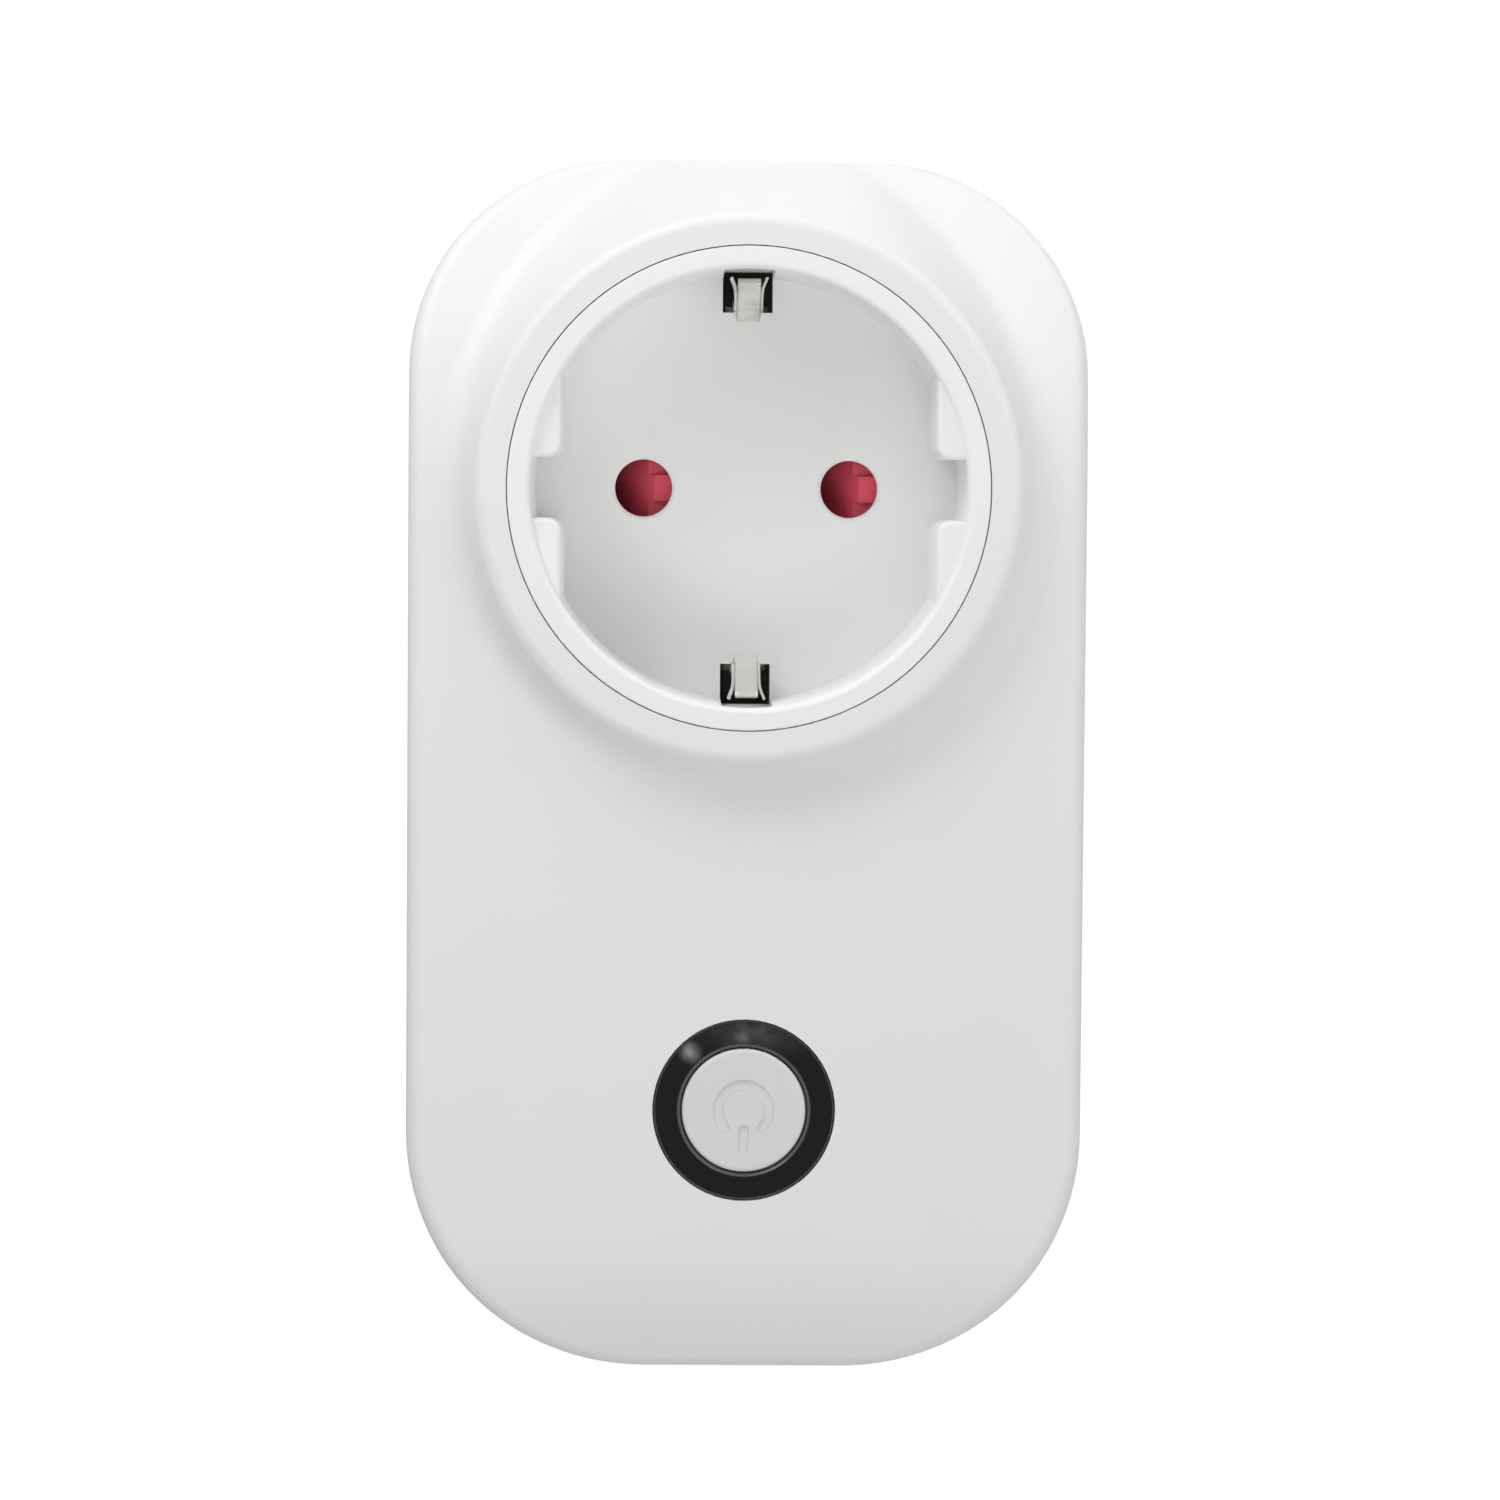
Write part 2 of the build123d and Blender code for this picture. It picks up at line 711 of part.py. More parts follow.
# the leaf rises through the floor, bows inward and opens out at its tip
leaf_points = [
    (floor_back_y + 0.5, clip_root),
    (floor_y - 1.2, clip_root - 0.5),
    (rim_y + 12.9, clip_slot_inner - 1.0),
    (rim_y + 11.4, clip_slot_inner - 0.6),
    (rim_y + 7.2, clip_slot_inner + 1.9),
]
leaf_tip_y = leaf_points[-1][0]

with BuildPart() as earth_clip_bracket:
    with BuildSketch(Plane.YZ.offset(-strap_width / 2)):
        with BuildLine():
            Polyline((strap_y, -clip_root), (strap_y, clip_root))
        trace(line_width=sheet_metal)
    extrude(amount=strap_width)
    for side in hands:
        with BuildSketch(Plane.YZ.offset(-leaf_width / 2)):
            with BuildLine():
                Polyline((strap_y, side * clip_root), *[(y, side * z) for y, z in leaf_points])
            trace(line_width=sheet_metal)
        extrude(amount=leaf_width)
        # two stiffening wings that flare towards the wall of the well
        for hand in hands:
            wing_root = hand * (leaf_width / 2 - 0.1)
            wing_end = hand * (leaf_width / 2 + 0.5)
            with BuildSketch(facing(leaf_tip_y + sheet_metal + 5.4)):
                with BuildLine():
                    Polyline(
                        (wing_root, side * (clip_slot_inner + 0.1)),
                        (wing_root + hand * 0.35, side * (clip_slot_inner + 0.1)),
                        (wing_end + hand * 0.35, side * (well_radius - 0.4)),
                        (wing_end, side * (well_radius - 0.4)),
                        close=True,
                    )
                make_face()
            extrude(amount=wing_depth)
    leaf_ends = (
        earth_clip_bracket.edges()
        .filter_by(lambda edge: edge.center().Y < leaf_tip_y + sheet_metal)
        .filter_by(lambda edge: abs(abs(edge.center().X) - leaf_width / 2) < 0.01)
        .filter_by(lambda edge: edge.length < 1.1 * sheet_metal)
    )
    fillet(leaf_ends, leaf_end_radius)
earth_clip_bracket.part.label = "earth_clip_bracket"
export_step(earth_clip_bracket.part, "parts/earth_clip_bracket.step")

contact_foot_y = carrier_back_y + sheet_metal / 2
contact_outline = (
    (contact_foot_reach, contact_foot_y),
    (contact_mouth, contact_foot_y),
    (contact_waist, contact_foot_y + contact_waist_depth),
    (contact_base, carrier_back_y + contact_length),
)
for name, centre in (("neutral_contact", -pin_x), ("live_contact", pin_x)):
    with BuildPart() as contact:
        with BuildSketch(Plane.XY.offset(-contact_width / 2)):
            with BuildLine():
                left_half = [(centre - reach, y) for reach, y in contact_outline]
                right_half = [(centre + reach, y) for reach, y in reversed(contact_outline)]
                Polyline(*left_half, *right_half)
            trace(line_width=sheet_metal)
        extrude(amount=contact_width)
    contact.part.label = name
    export_step(contact.part, f"parts/{name}.step")

# ================= plug =================

pin_head_y = -nose_cap
pin_tail_y = pin_head_y - pin_head_thickness - pin_tail_length
for name, centre in (("neutral_pin", -pin_x), ("live_pin", pin_x)):
    with BuildPart() as pin:
        with BuildSketch(facing(pin_head_y)):
            with Locations((centre, 0)):
                Circle(pin_shoulder_radius + pin_head_rim)
        extrude(amount=pin_head_thickness)
        with BuildSketch(facing(pin_head_y)):
            with Locations((centre, 0)):
                Circle(pin_shoulder_radius)
        extrude(amount=-nose_cap)
        with BuildSketch(facing(0)):
            with Locations((centre, 0)):
                Circle(pin_radius)
        extrude(amount=-pin_length)
        tip = pin.edges().sort_by(Axis.Y)[-1]
        fillet(tip, pin_tip_radius)
        with BuildSketch(facing(pin_head_y - pin_head_thickness)):
            with Locations((centre, 0)):
                Circle(pin_tail_radius)
        extrude(amount=pin_tail_length)
    pin.part.label = name
    export_step(pin.part, f"parts/{name}.step")

bridge_y = back_y + strip_entry + strip_entry_height / 2
bridge_front_y = bridge_y - strip_thickness / 2
strip_level = recess_floor + seam_gap + strip_thickness / 2
sleeve_radius = earth_bore_radius + earth_sleeve_wall
# a strip leaves the bridge, bows outward and turns in at its end: depth, and height over its level
strip_points = ((bridge_y, 0), (bridge_y + 2.4, 0), (bridge_y + 6.0, 0.55), (-2.4, 0.25), (-1.2, -0.05))

with BuildPart() as plug_earth_bridge:
    # a bridge across the inside of the nose, with a strip along each side of the plug
    with BuildSketch(facing(bridge_y + strip_thickness / 2)):
        Rectangle(earth_strip_width, 2 * strip_level)
        with Locations((0, earth_pin_offset)):
            Circle(sleeve_radius + cut)
            Circle(sleeve_radius, mode=Mode.SUBTRACT)
    extrude(amount=strip_thickness)
    for side in hands:
        with BuildSketch(Plane.YZ.offset(-earth_strip_width / 2)):
            with BuildLine():
                Polyline(*[(y, side * (strip_level + rise)) for y, rise in strip_points])
            trace(line_width=strip_thickness)
        extrude(amount=earth_strip_width)
plug_earth_bridge.part.label = "plug_earth_bridge"
export_step(plug_earth_bridge.part, "parts/plug_earth_bridge.step")

with BuildPart() as earth_sleeve:
    with BuildSketch(facing(bridge_y - strip_thickness)):
        with Locations((0, earth_pin_offset)):
            Circle(sleeve_radius)
            Circle(earth_bore_radius, mode=Mode.SUBTRACT)
    extrude(amount=bridge_y - strip_thickness + earth_sleeve_inset)
earth_sleeve.part.label = "earth_sleeve"
export_step(earth_sleeve.part, "parts/earth_sleeve.step")

# ================= boards =================

with BuildPart() as main_board:
    with BuildSketch(facing(board_back_y)):
        add(outline(wall + board_edge_gap))
        with Locations((0, board_top + body_height / 2)):
            Rectangle(body_width, body_height, mode=Mode.SUBTRACT)
        with Locations(*pillar_points):
            Circle(pillar_radius + pillar_clearance, mode=Mode.SUBTRACT)
        with Locations(*board_screw_points):
            Circle(board_hole_radius, mode=Mode.SUBTRACT)
    extrude(amount=board_thickness)
main_board.part.label = "main_board"
export_step(main_board.part, "parts/main_board.step")

with BuildPart() as control_board:
    with BuildSketch(facing(control_back_y)):
        with Locations((0, button_z)):
            RectangleRounded(*control_size[:2], control_corner_radius)
        with Locations(*control_screw_points):
            Circle(board_hole_radius, mode=Mode.SUBTRACT)
    extrude(amount=control_size[2])
control_board.part.label = "control_board"
export_step(control_board.part, "parts/control_board.step")

# the relay switches the live side
relay_place = (relay_x, board_top - relay_drop)
with BuildPart() as relay_base:
    with BuildSketch(facing(board_front_y)):
        with Locations(relay_place):
            Rectangle(*[side + 2 * relay_base_rim for side in relay_size[:2]])
    extrude(amount=relay_base_height)
relay_base.part.label = "relay_base"
export_step(relay_base.part, "parts/relay_base.step")

with BuildPart() as relay_case:
    with BuildSketch(facing(board_front_y - relay_base_height)):
        with Locations(relay_place):
            RectangleRounded(*relay_size[:2], 4 * relay_base_rim)
    extrude(amount=relay_size[2])
    chamfer(relay_case.faces().sort_by(Axis.Y)[0].edges(), 2 * relay_base_rim)
relay_case.part.label = "relay_case"
export_step(relay_case.part, "parts/relay_case.step")

with BuildPart() as mains_capacitor:
    with BuildSketch(facing(board_front_y)):
        with Locations((mains_capacitor_place[0], board_top - mains_capacitor_place[1])):
            RectangleRounded(*mains_capacitor_size[:2], 0.6)
    extrude(amount=mains_capacitor_size[2])
    fillet(mains_capacitor.faces().sort_by(Axis.Y)[0].edges(), 0.5)
mains_capacitor.part.label = "mains_capacitor"
export_step(mains_capacitor.part, "parts/mains_capacitor.step")

varistor_x = varistor_place[0]
varistor_z = board_top - varistor_place[1]
with BuildPart() as varistor:
    with BuildSketch(Plane.XY.offset(varistor_z - varistor_thickness / 2)):
        with Locations((varistor_x, board_front_y - varistor_lift)):
            Circle(varistor_radius)
    extrude(amount=varistor_thickness)
    fillet(varistor.edges(), 0.3 * varistor_thickness)
    with BuildSketch(facing(board_front_y)):
        with Locations((varistor_x, varistor_z)):
            with GridLocations(varistor_lead_pitch, 1, 2, 1):
                Circle(lead_radius)
    extrude(amount=varistor_radius)
varistor.part.label = "varistor"
export_step(varistor.part, "parts/varistor.step")

fuse_z = board_top - fuse_place[1]
fuse_start = fuse_place[0] - fuse_length / 2
cap_starts = (fuse_start, fuse_start + fuse_length - fuse_cap_length)
with BuildPart() as fuse:
    with BuildSketch(Plane(origin=(fuse_start, board_front_y - fuse_lift, fuse_z), z_dir=(1, 0, 0))):
        Circle(fuse_radius)
    extrude(amount=fuse_length)
    for start in cap_starts:
        with BuildSketch(Plane(origin=(start, board_front_y - fuse_lift, fuse_z), z_dir=(1, 0, 0))):
            Circle(fuse_cap_radius)
        extrude(amount=fuse_cap_length)
    with BuildSketch(facing(board_front_y)):
        with Locations(*[(start + fuse_cap_length / 2, fuse_z) for start in cap_starts]):
            Circle(lead_radius)
    extrude(amount=fuse_lift / 2)
fuse.part.label = "fuse"
export_step(fuse.part, "parts/fuse.step")

# the meter reads the current as the voltage across this strip
shunt_half = shunt_size[0] / 2
with BuildPart() as shunt:
    with BuildSketch(Plane.XY.offset(board_top - shunt_drop - shunt_size[1] / 2)):
        with BuildLine():
            Polyline(
                (-shunt_half, board_front_y),
                (-shunt_half, board_front_y - shunt_size[2]),
                (shunt_half, board_front_y - shunt_size[2]),
                (shunt_half, board_front_y),
            )
        trace(line_width=shunt_thickness)
        with Locations((0, board_front_y + cut)):
            Rectangle(2 * shunt_size[0], 2 * cut, mode=Mode.SUBTRACT)
    extrude(amount=shunt_size[1])
shunt.part.label = "shunt"
export_step(shunt.part, "parts/shunt.step")

transformer_z = button_z + transformer_place[1]
transformer_axis = (transformer_place[0], board_front_y - transformer_lift)
with BuildPart() as transformer_coil:
    with BuildSketch(Plane.XY.offset(transformer_z - coil_size[1] / 2)):
        with Locations(transformer_axis):
            RectangleRounded(coil_size[0], coil_size[2], coil_corner_radius)
    extrude(amount=coil_size[1])
transformer_coil.part.label = "transformer_coil"
export_step(transformer_coil.part, "parts/transformer_coil.step")

with BuildPart() as transformer_core:
    with BuildSketch(Plane.XY.offset(transformer_z - core_size[1] / 2)):
        with Locations(transformer_axis):
            Rectangle(core_size[0], core_size[2])
            RectangleRounded(
                coil_size[0] + 2 * coil_play,
                coil_size[2] + 2 * coil_play,
                coil_corner_radius,
                mode=Mode.SUBTRACT,
            )
    extrude(amount=core_size[1])
transformer_core.part.label = "transformer_core"
export_step(transformer_core.part, "parts/transformer_core.step")

# cans: centre, radius and height
can_sizes = {
    "bulk_capacitor_1": (-20.0, button_z + 5.0, 4.0, 13.0),
    "bulk_capacitor_2": (-20.0, button_z - 4.5, 4.0, 13.0),
    "output_capacitor": (16.5, button_z - 6.0, 3.15, 11.0),
}
groove_height, groove_width, groove_depth = can_groove
vent_share, vent_width, vent_depth = can_vent
for name, (x, z, radius, height) in can_sizes.items():
    with BuildPart() as can:
        with BuildSketch(facing(board_front_y)):
            with Locations((x, z)):
                Circle(radius)
        extrude(amount=height)
        fillet(can.faces().sort_by(Axis.Y)[0].edges(), 0.5)
        # the rolled groove above the rubber seal, and the scored vent
        with BuildSketch(facing(board_front_y - groove_height)):
            with Locations((x, z)):
                Circle(radius + cut)
                Circle(radius - groove_depth, mode=Mode.SUBTRACT)
        extrude(amount=groove_width, mode=Mode.SUBTRACT)
        with BuildSketch(facing(board_front_y - height + vent_depth)):
            with Locations((x, z)):
                Rectangle(2 * vent_share * radius, vent_width)
                Rectangle(vent_width, 2 * vent_share * radius)
        extrude(amount=vent_depth + cut, mode=Mode.SUBTRACT)
    can.part.label = name
    export_step(can.part, f"parts/{name}.step")

# moulded chips with leads along two sides: centre, body, height, leads on a side and their pitch
chip_sizes = {
    "bridge_rectifier": (-8.5, button_z + 2.0, 4.8, 3.9, 2.4, 2, 2.54),
    "converter_chip": (-1.0, button_z + 1.0, 4.9, 3.9, 1.5, 4, 1.27),
    "metering_chip": (2.0, button_z - 6.5, 9.9, 3.9, 1.5, 8, 1.27),
}
for name, (x, z, length, width, height, lead_count, lead_pitch) in chip_sizes.items():
    with BuildPart() as chip:
        with BuildSketch(facing(board_front_y - chip_lift)):
            with Locations((x, z)):
                Rectangle(length, width)
        extrude(amount=height)
        chamfer(chip.faces().sort_by(Axis.Y)[0].edges(), 0.25)
        with BuildSketch(facing(board_front_y)):
            with Locations((x, z)):
                with GridLocations(lead_pitch, width + 1.0, lead_count, 2):
                    Rectangle(*chip_lead[:2])
        extrude(amount=chip_lead[2])
    chip.part.label = name
    export_step(chip.part, f"parts/{name}.step")

header_z = button_z - header_drop
with BuildPart() as board_header:
    with BuildSketch(facing(board_front_y)):
        with Locations((0, header_z)):
            Rectangle(header_count * header_pitch + seam_gap, header_width)
            with GridLocations(header_pitch, 1, header_count, 1):
                Rectangle(header_pin + seam_gap, header_pin + seam_gap, mode=Mode.SUBTRACT)
    extrude(amount=header_height)
board_header.part.label = "board_header"
export_step(board_header.part, "parts/board_header.step")

with BuildPart() as header_pins:
    with BuildSketch(facing(board_front_y)):
        with Locations((0, header_z)):
            with GridLocations(header_pitch, 1, header_count, 1):
                Rectangle(header_pin, header_pin)
    extrude(amount=board_front_y - control_back_y)
header_pins.part.label = "header_pins"
export_step(header_pins.part, "parts/header_pins.step")

radio_z = button_z + radio_rise
radio_back_y = control_back_y + radio_size[2]
with BuildPart() as radio_module:
    with BuildSketch(facing(radio_back_y)):
        with Locations((0, radio_z)):
            Rectangle(*radio_size[:2])
    extrude(amount=radio_size[2])
radio_module.part.label = "radio_module"
export_step(radio_module.part, "parts/radio_module.step")

with BuildPart() as radio_shield:
    with BuildSketch(facing(radio_back_y + shield_size[2])):
        with Locations((0, radio_z - shield_drop)):
            RectangleRounded(*shield_size[:2], 0.6)
    extrude(amount=shield_size[2])
radio_shield.part.label = "radio_shield"
export_step(radio_shield.part, "parts/radio_shield.step")

# ================= button and light ring =================

cap_front_y = front_y - cap_proud
cap_inner_y = cap_front_y + cap_plate
cap_radius = ring_bore - cap_gap
ring_back_y = front_inner_y + ring_flange_thickness
cap_back_y = ring_back_y + cap_flange_thickness
plunger_seat_y = control_front_y - plunger_seat
plunger_back_y = plunger_seat_y - button_travel - plunger_spare

with BuildPart() as light_ring:
    with BuildSketch(facing(ring_back_y)):
        with Locations((0, button_z)):
            Circle(ring_radius)
    extrude(amount=ring_back_y - front_y)
    with BuildSketch(facing(ring_back_y)):
        with Locations((0, button_z)):
            Circle(ring_radius + ring_flange)
    extrude(amount=ring_flange_thickness)
    # a skirt at the back takes in the light of the diodes
    with BuildSketch(facing(ring_back_y + ring_flange_thickness)):
        with Locations((0, button_z)):
            Circle(ring_radius + ring_skirt[0])
            Circle(ring_radius - ring_skirt[1], mode=Mode.SUBTRACT)
    extrude(amount=ring_flange_thickness)
    with BuildSketch(facing(ring_back_y)):
        with Locations((0, button_z)):
            Circle(ring_bore)
    extrude(amount=ring_back_y - front_y, mode=Mode.SUBTRACT)
    ring_lips = light_ring.edges().filter_by(GeomType.CIRCLE).group_by(Axis.Y)[0].sort_by(SortBy.RADIUS)
    chamfer(ring_lips[:1], ring_inner_bevel)
    fillet(ring_lips[-1:], ring_outer_radius)
light_ring.part.label = "light_ring"
export_step(light_ring.part, "parts/light_ring.step")

with BuildPart() as ring_leds:
    with BuildSketch(facing(control_front_y)):
        with Locations((0, button_z)):
            with PolarLocations(ring_radius - ring_gap, led_count, start_angle=45):
                Rectangle(*led_size[:2])
    extrude(amount=led_size[2])
ring_leds.part.label = "ring_leds"
export_step(ring_leds.part, "parts/ring_leds.step")

with BuildPart() as switch_body:
    with BuildSketch(facing(control_front_y)):
        with Locations((0, button_z)):
            RectangleRounded(switch_side, switch_side, 0.4)
    extrude(amount=switch_height)
    with BuildSketch(facing(plunger_seat_y)):
        with Locations((0, button_z)):
            Circle(plunger_radius + plunger_play)
    extrude(amount=switch_height, mode=Mode.SUBTRACT)
    with BuildSketch(facing(control_front_y)):
        with Locations((0, button_z)):
            with GridLocations(*switch_foot_grid, 2, 2):
                Rectangle(*switch_foot[:2])
    extrude(amount=switch_foot[2])
switch_body.part.label = "switch_body"
export_step(switch_body.part, "parts/switch_body.step")

with BuildPart() as switch_plunger:
    with BuildSketch(facing(plunger_back_y)):
        with Locations((0, button_z)):
            Circle(plunger_radius)
    extrude(amount=plunger_back_y - cap_inner_y)
switch_plunger.part.label = "switch_plunger"
export_step(switch_plunger.part, "parts/switch_plunger.step")

with BuildPart() as button_cap:
    with BuildSketch(facing(cap_back_y)):
        with Locations((0, button_z)):
            Circle(cap_radius + cap_flange)
    extrude(amount=cap_flange_thickness)
    with BuildSketch(facing(ring_back_y)):
        with Locations((0, button_z)):
            Circle(cap_radius)
    extrude(amount=ring_back_y - cap_front_y)
    with BuildSketch(facing(cap_back_y)):
        with Locations((0, button_z)):
            Circle(cap_radius - cap_wall)
    extrude(amount=cap_back_y - cap_inner_y, mode=Mode.SUBTRACT)
    cap_rim = button_cap.edges().filter_by(GeomType.CIRCLE).group_by(Axis.Y)[0]
    fillet(cap_rim, cap_edge_radius)
    # the on and off sign: a ring open at the bottom, and a bar through the opening
    with BuildSketch(facing(cap_front_y + icon_depth)):
        with Locations((0, button_z)):
            with BuildLine() as sign:
                CenterArc((0, button_z), icon_arc_radius, icon_opening / 2 - 90, 360 - icon_opening)
            trace(line_width=icon_stroke)
        with Locations(sign.line @ 0, sign.line @ 1):
            Circle(icon_stroke / 2)
        with Locations((0, button_z - icon_bar_drop)):
            SlotOverall(icon_bar_length, icon_stroke, rotation=90)
    extrude(amount=cut, mode=Mode.SUBTRACT)
button_cap.part.label = "button_cap"
export_step(button_cap.part, "parts/button_cap.step")

# ================= wires =================

wire_y = board_back_y + terminal_wire_height
terminal_z = board_top - terminal_drop
terminal_entry_z = terminal_z + terminal_size[1] / 2
wire_end_z = terminal_entry_z - terminal_bite
terminals = {
    "live": pin_x + terminal_shift[0],
    "load": pin_x + terminal_shift[1],
    "neutral": -pin_x - terminal_shift[0],
    "return": -pin_x - terminal_shift[1],
}

with BuildPart() as wire_terminals:
    with BuildSketch(facing(board_back_y + terminal_size[2])):
        with Locations(*[(x, terminal_z) for x in terminals.values()]):
            Rectangle(*terminal_size[:2])
    extrude(amount=terminal_size[2])
    for x in terminals.values():
        with BuildSketch(Plane(origin=(x, wire_y, terminal_entry_z), x_dir=(1, 0, 0), z_dir=(0, 0, 1))):
            Circle(wire_radius + seam_gap / 2)
        extrude(amount=-terminal_bite, mode=Mode.SUBTRACT)
wire_terminals.part.label = "wire_terminals"
export_step(wire_terminals.part, "parts/wire_terminals.step")

# each route runs from a contact or a pin to its terminal on the board
tail_y = pin_tail_y + pin_tail_radius
strap_back_y = strap_y + sheet_metal / 2
routes = {
    "live_wire": [
        (pin_x, tail_y, -pin_tail_radius),
        (pin_x - 0.5, tail_y, -8.0),
        (pin_x - 1.1, wire_y, -8.8),
        (terminals["live"], wire_y, wire_end_z),
    ],
    "neutral_wire": [
        (-pin_x, tail_y, -pin_tail_radius),
        (-pin_x + 0.5, tail_y, -8.0),
        (-pin_x + 1.1, wire_y, -8.8),
        (terminals["neutral"], wire_y, wire_end_z),
    ],
    "load_wire": [
        (pin_x + 2.9, wire_y, -3.1),
        (pin_x + 3.1, wire_y - 1.0, -10.0),
        (terminals["load"] + 0.2, wire_y, -18.0),
        (terminals["load"], wire_y, wire_end_z),
    ],
    "return_wire": [
        (-pin_x - 2.9, wire_y, -3.1),
        (-pin_x - 3.1, wire_y - 1.0, -10.0),
        (terminals["return"] - 0.2, wire_y, -18.0),
        (terminals["return"], wire_y, wire_end_z),
    ],
    "earth_wire": [
        (0, strap_back_y, 5.0),
        (0, (strap_back_y + bridge_y) / 2, 5.0),
        (0, (strap_back_y + bridge_y) / 2, -6.0),
        (0, bridge_front_y, -6.0),
    ],
}
for name, route in routes.items():
    tube = wire(route)
    print(name, "bend radii", [round(radius, 1) for radius in bend_radii(route)])
    tube.label = name
    export_step(tube, f"parts/{name}.step")

# ================= screws =================

peg_points = [(hand * peg_spacing / 2, rise * peg_spacing / 2) for hand in hands for rise in hands]
shell_screw_length = head_seat_y - split_y + screw_depth - screw_end_gap
board_screw_length = board_thickness + board_back_gap - pilot_floor
control_screw_length = control_size[2] + control_gap - 2 * pilot_floor
carrier_screw_length = peg_length - screw_end_gap
# places, seat of the heads, the way the heads look, the screw and its length
screw_groups = {
    "shell_screws": (screw_points, head_seat_y, 1, casing_screw, shell_screw_length),
    "board_screws": (board_screw_points, board_front_y, -1, board_screw, board_screw_length),
    "control_screws": (control_screw_points, control_back_y, 1, board_screw, control_screw_length),
    "carrier_screws": (peg_points, carrier_back_y, 1, carrier_screw, carrier_screw_length),
}
for name, (points, seat_y, way, kind, length) in screw_groups.items():
    group = screws(points, seat_y, way, kind, length)
    group.label = name
    export_step(group, f"parts/{name}.step")
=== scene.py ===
import math

import bmesh
import bpy
from mathutils import Matrix, Vector


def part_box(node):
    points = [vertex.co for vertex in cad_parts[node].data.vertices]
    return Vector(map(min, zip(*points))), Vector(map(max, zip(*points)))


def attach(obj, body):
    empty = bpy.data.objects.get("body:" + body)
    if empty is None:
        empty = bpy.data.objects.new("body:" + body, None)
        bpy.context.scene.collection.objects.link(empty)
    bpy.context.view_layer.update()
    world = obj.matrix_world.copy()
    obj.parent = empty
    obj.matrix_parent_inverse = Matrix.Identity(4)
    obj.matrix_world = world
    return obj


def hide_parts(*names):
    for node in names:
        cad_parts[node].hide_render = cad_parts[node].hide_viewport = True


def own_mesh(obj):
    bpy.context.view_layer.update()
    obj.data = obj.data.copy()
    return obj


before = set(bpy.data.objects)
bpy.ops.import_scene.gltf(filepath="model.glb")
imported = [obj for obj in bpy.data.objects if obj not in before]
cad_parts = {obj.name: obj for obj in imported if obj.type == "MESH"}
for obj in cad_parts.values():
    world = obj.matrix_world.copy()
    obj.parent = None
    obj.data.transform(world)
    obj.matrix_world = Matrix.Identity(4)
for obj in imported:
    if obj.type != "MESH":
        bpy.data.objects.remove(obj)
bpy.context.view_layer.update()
print("frame loaded:", len(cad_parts), "parts")

mm = 0.001  # every size below is in millimetres and is turned to metres with this
colourMix = {"data_type": "RGBA"}  # what a mix node needs to blend two colours


def linearColour(hexText):
    # sRGB hex to the linear RGBA that the shaders take
    channels = [int(hexText[i:i + 2], 16) / 255 for i in (0, 2, 4)]
    linear = [c / 12.92 if c <= 0.04045 else ((c + 0.055) / 1.055) ** 2.4 for c in channels]
    return (*linear, 1.0)


def addNode(tree, kind, settings=None, links=None, onward=None):
    # adds a node, sets its options, links or sets its inputs, and links its outputs onward
    node = tree.nodes.new(kind)
    for name, value in (settings or {}).items():
        setattr(node, name, value)
    for name, value in (links or {}).items():
        if isinstance(value, bpy.types.NodeSocket):
            tree.links.new(value, node.inputs[name])
        else:
            node.inputs[name].default_value = linearColour(value) if isinstance(value, str) else value
    for name, target in (onward or {}).items():
        tree.links.new(node.outputs[name], target)
    return node


def startMaterial(name, shaderInputs):
    # a Principled material and its coordinates in millimetres
    material = bpy.data.materials.new(name)
    material.use_nodes = True
    tree = material.node_tree
    tree.nodes.clear()
    shader = addNode(tree, "ShaderNodeBsdfPrincipled", links=shaderInputs)
    addNode(tree, "ShaderNodeOutputMaterial", links={"Surface": shader.outputs["BSDF"]})
    place = addNode(tree, "ShaderNodeTexCoord")
    scaled = addNode(tree, "ShaderNodeVectorMath", {"operation": "SCALE"},
                     {"Vector": place.outputs["Object"], "Scale": 1 / mm})
    return material, tree, shader, scaled.outputs["Vector"]


def raiseGrain(tree, shader, place, size, depth, strength, detail=3.0, roughness=0.5):
    # fine relief all over a surface; gives back its pattern, for colour or gloss
    grain = addNode(tree, "ShaderNodeTexNoise", links={
        "Vector": place, "Scale": 1 / size, "Detail": detail, "Roughness": roughness})
    addNode(tree, "ShaderNodeBump", links={
        "Height": grain.outputs["Fac"], "Strength": strength, "Distance": depth * mm},
        onward={"Normal": shader.inputs["Normal"]})
    return grain.outputs["Fac"]


def dress(material, *nodeNames):
    # gives CAD parts their finish
    for nodeName in nodeNames:
        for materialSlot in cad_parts[nodeName].material_slots:
            materialSlot.material = material


def middleOf(nodeName):
    # centre of a CAD part in millimetres
    low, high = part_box(nodeName)
    return Vector([(a + b) / 2 / mm for a, b in zip(low, high)])


def edgesOf(nodeName):
    # lowest and highest corner of a CAD part in millimetres
    low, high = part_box(nodeName)
    return Vector(low) / mm, Vector(high) / mm


# camera: level with the socket, a little to its left, looking slightly down
view = {
    "place": (-6.4, -475.2, 0.0),
    "pitch": 3.148,  # degrees down
    "yaw": 0.903,  # degrees to the right
    "roll": 0.45,
    "lens": 114.0,
    "sensor": 36.0,
    "nearest": 10.0,  # what the camera sees begins and ends here
    "farthest": 20000.0,
}


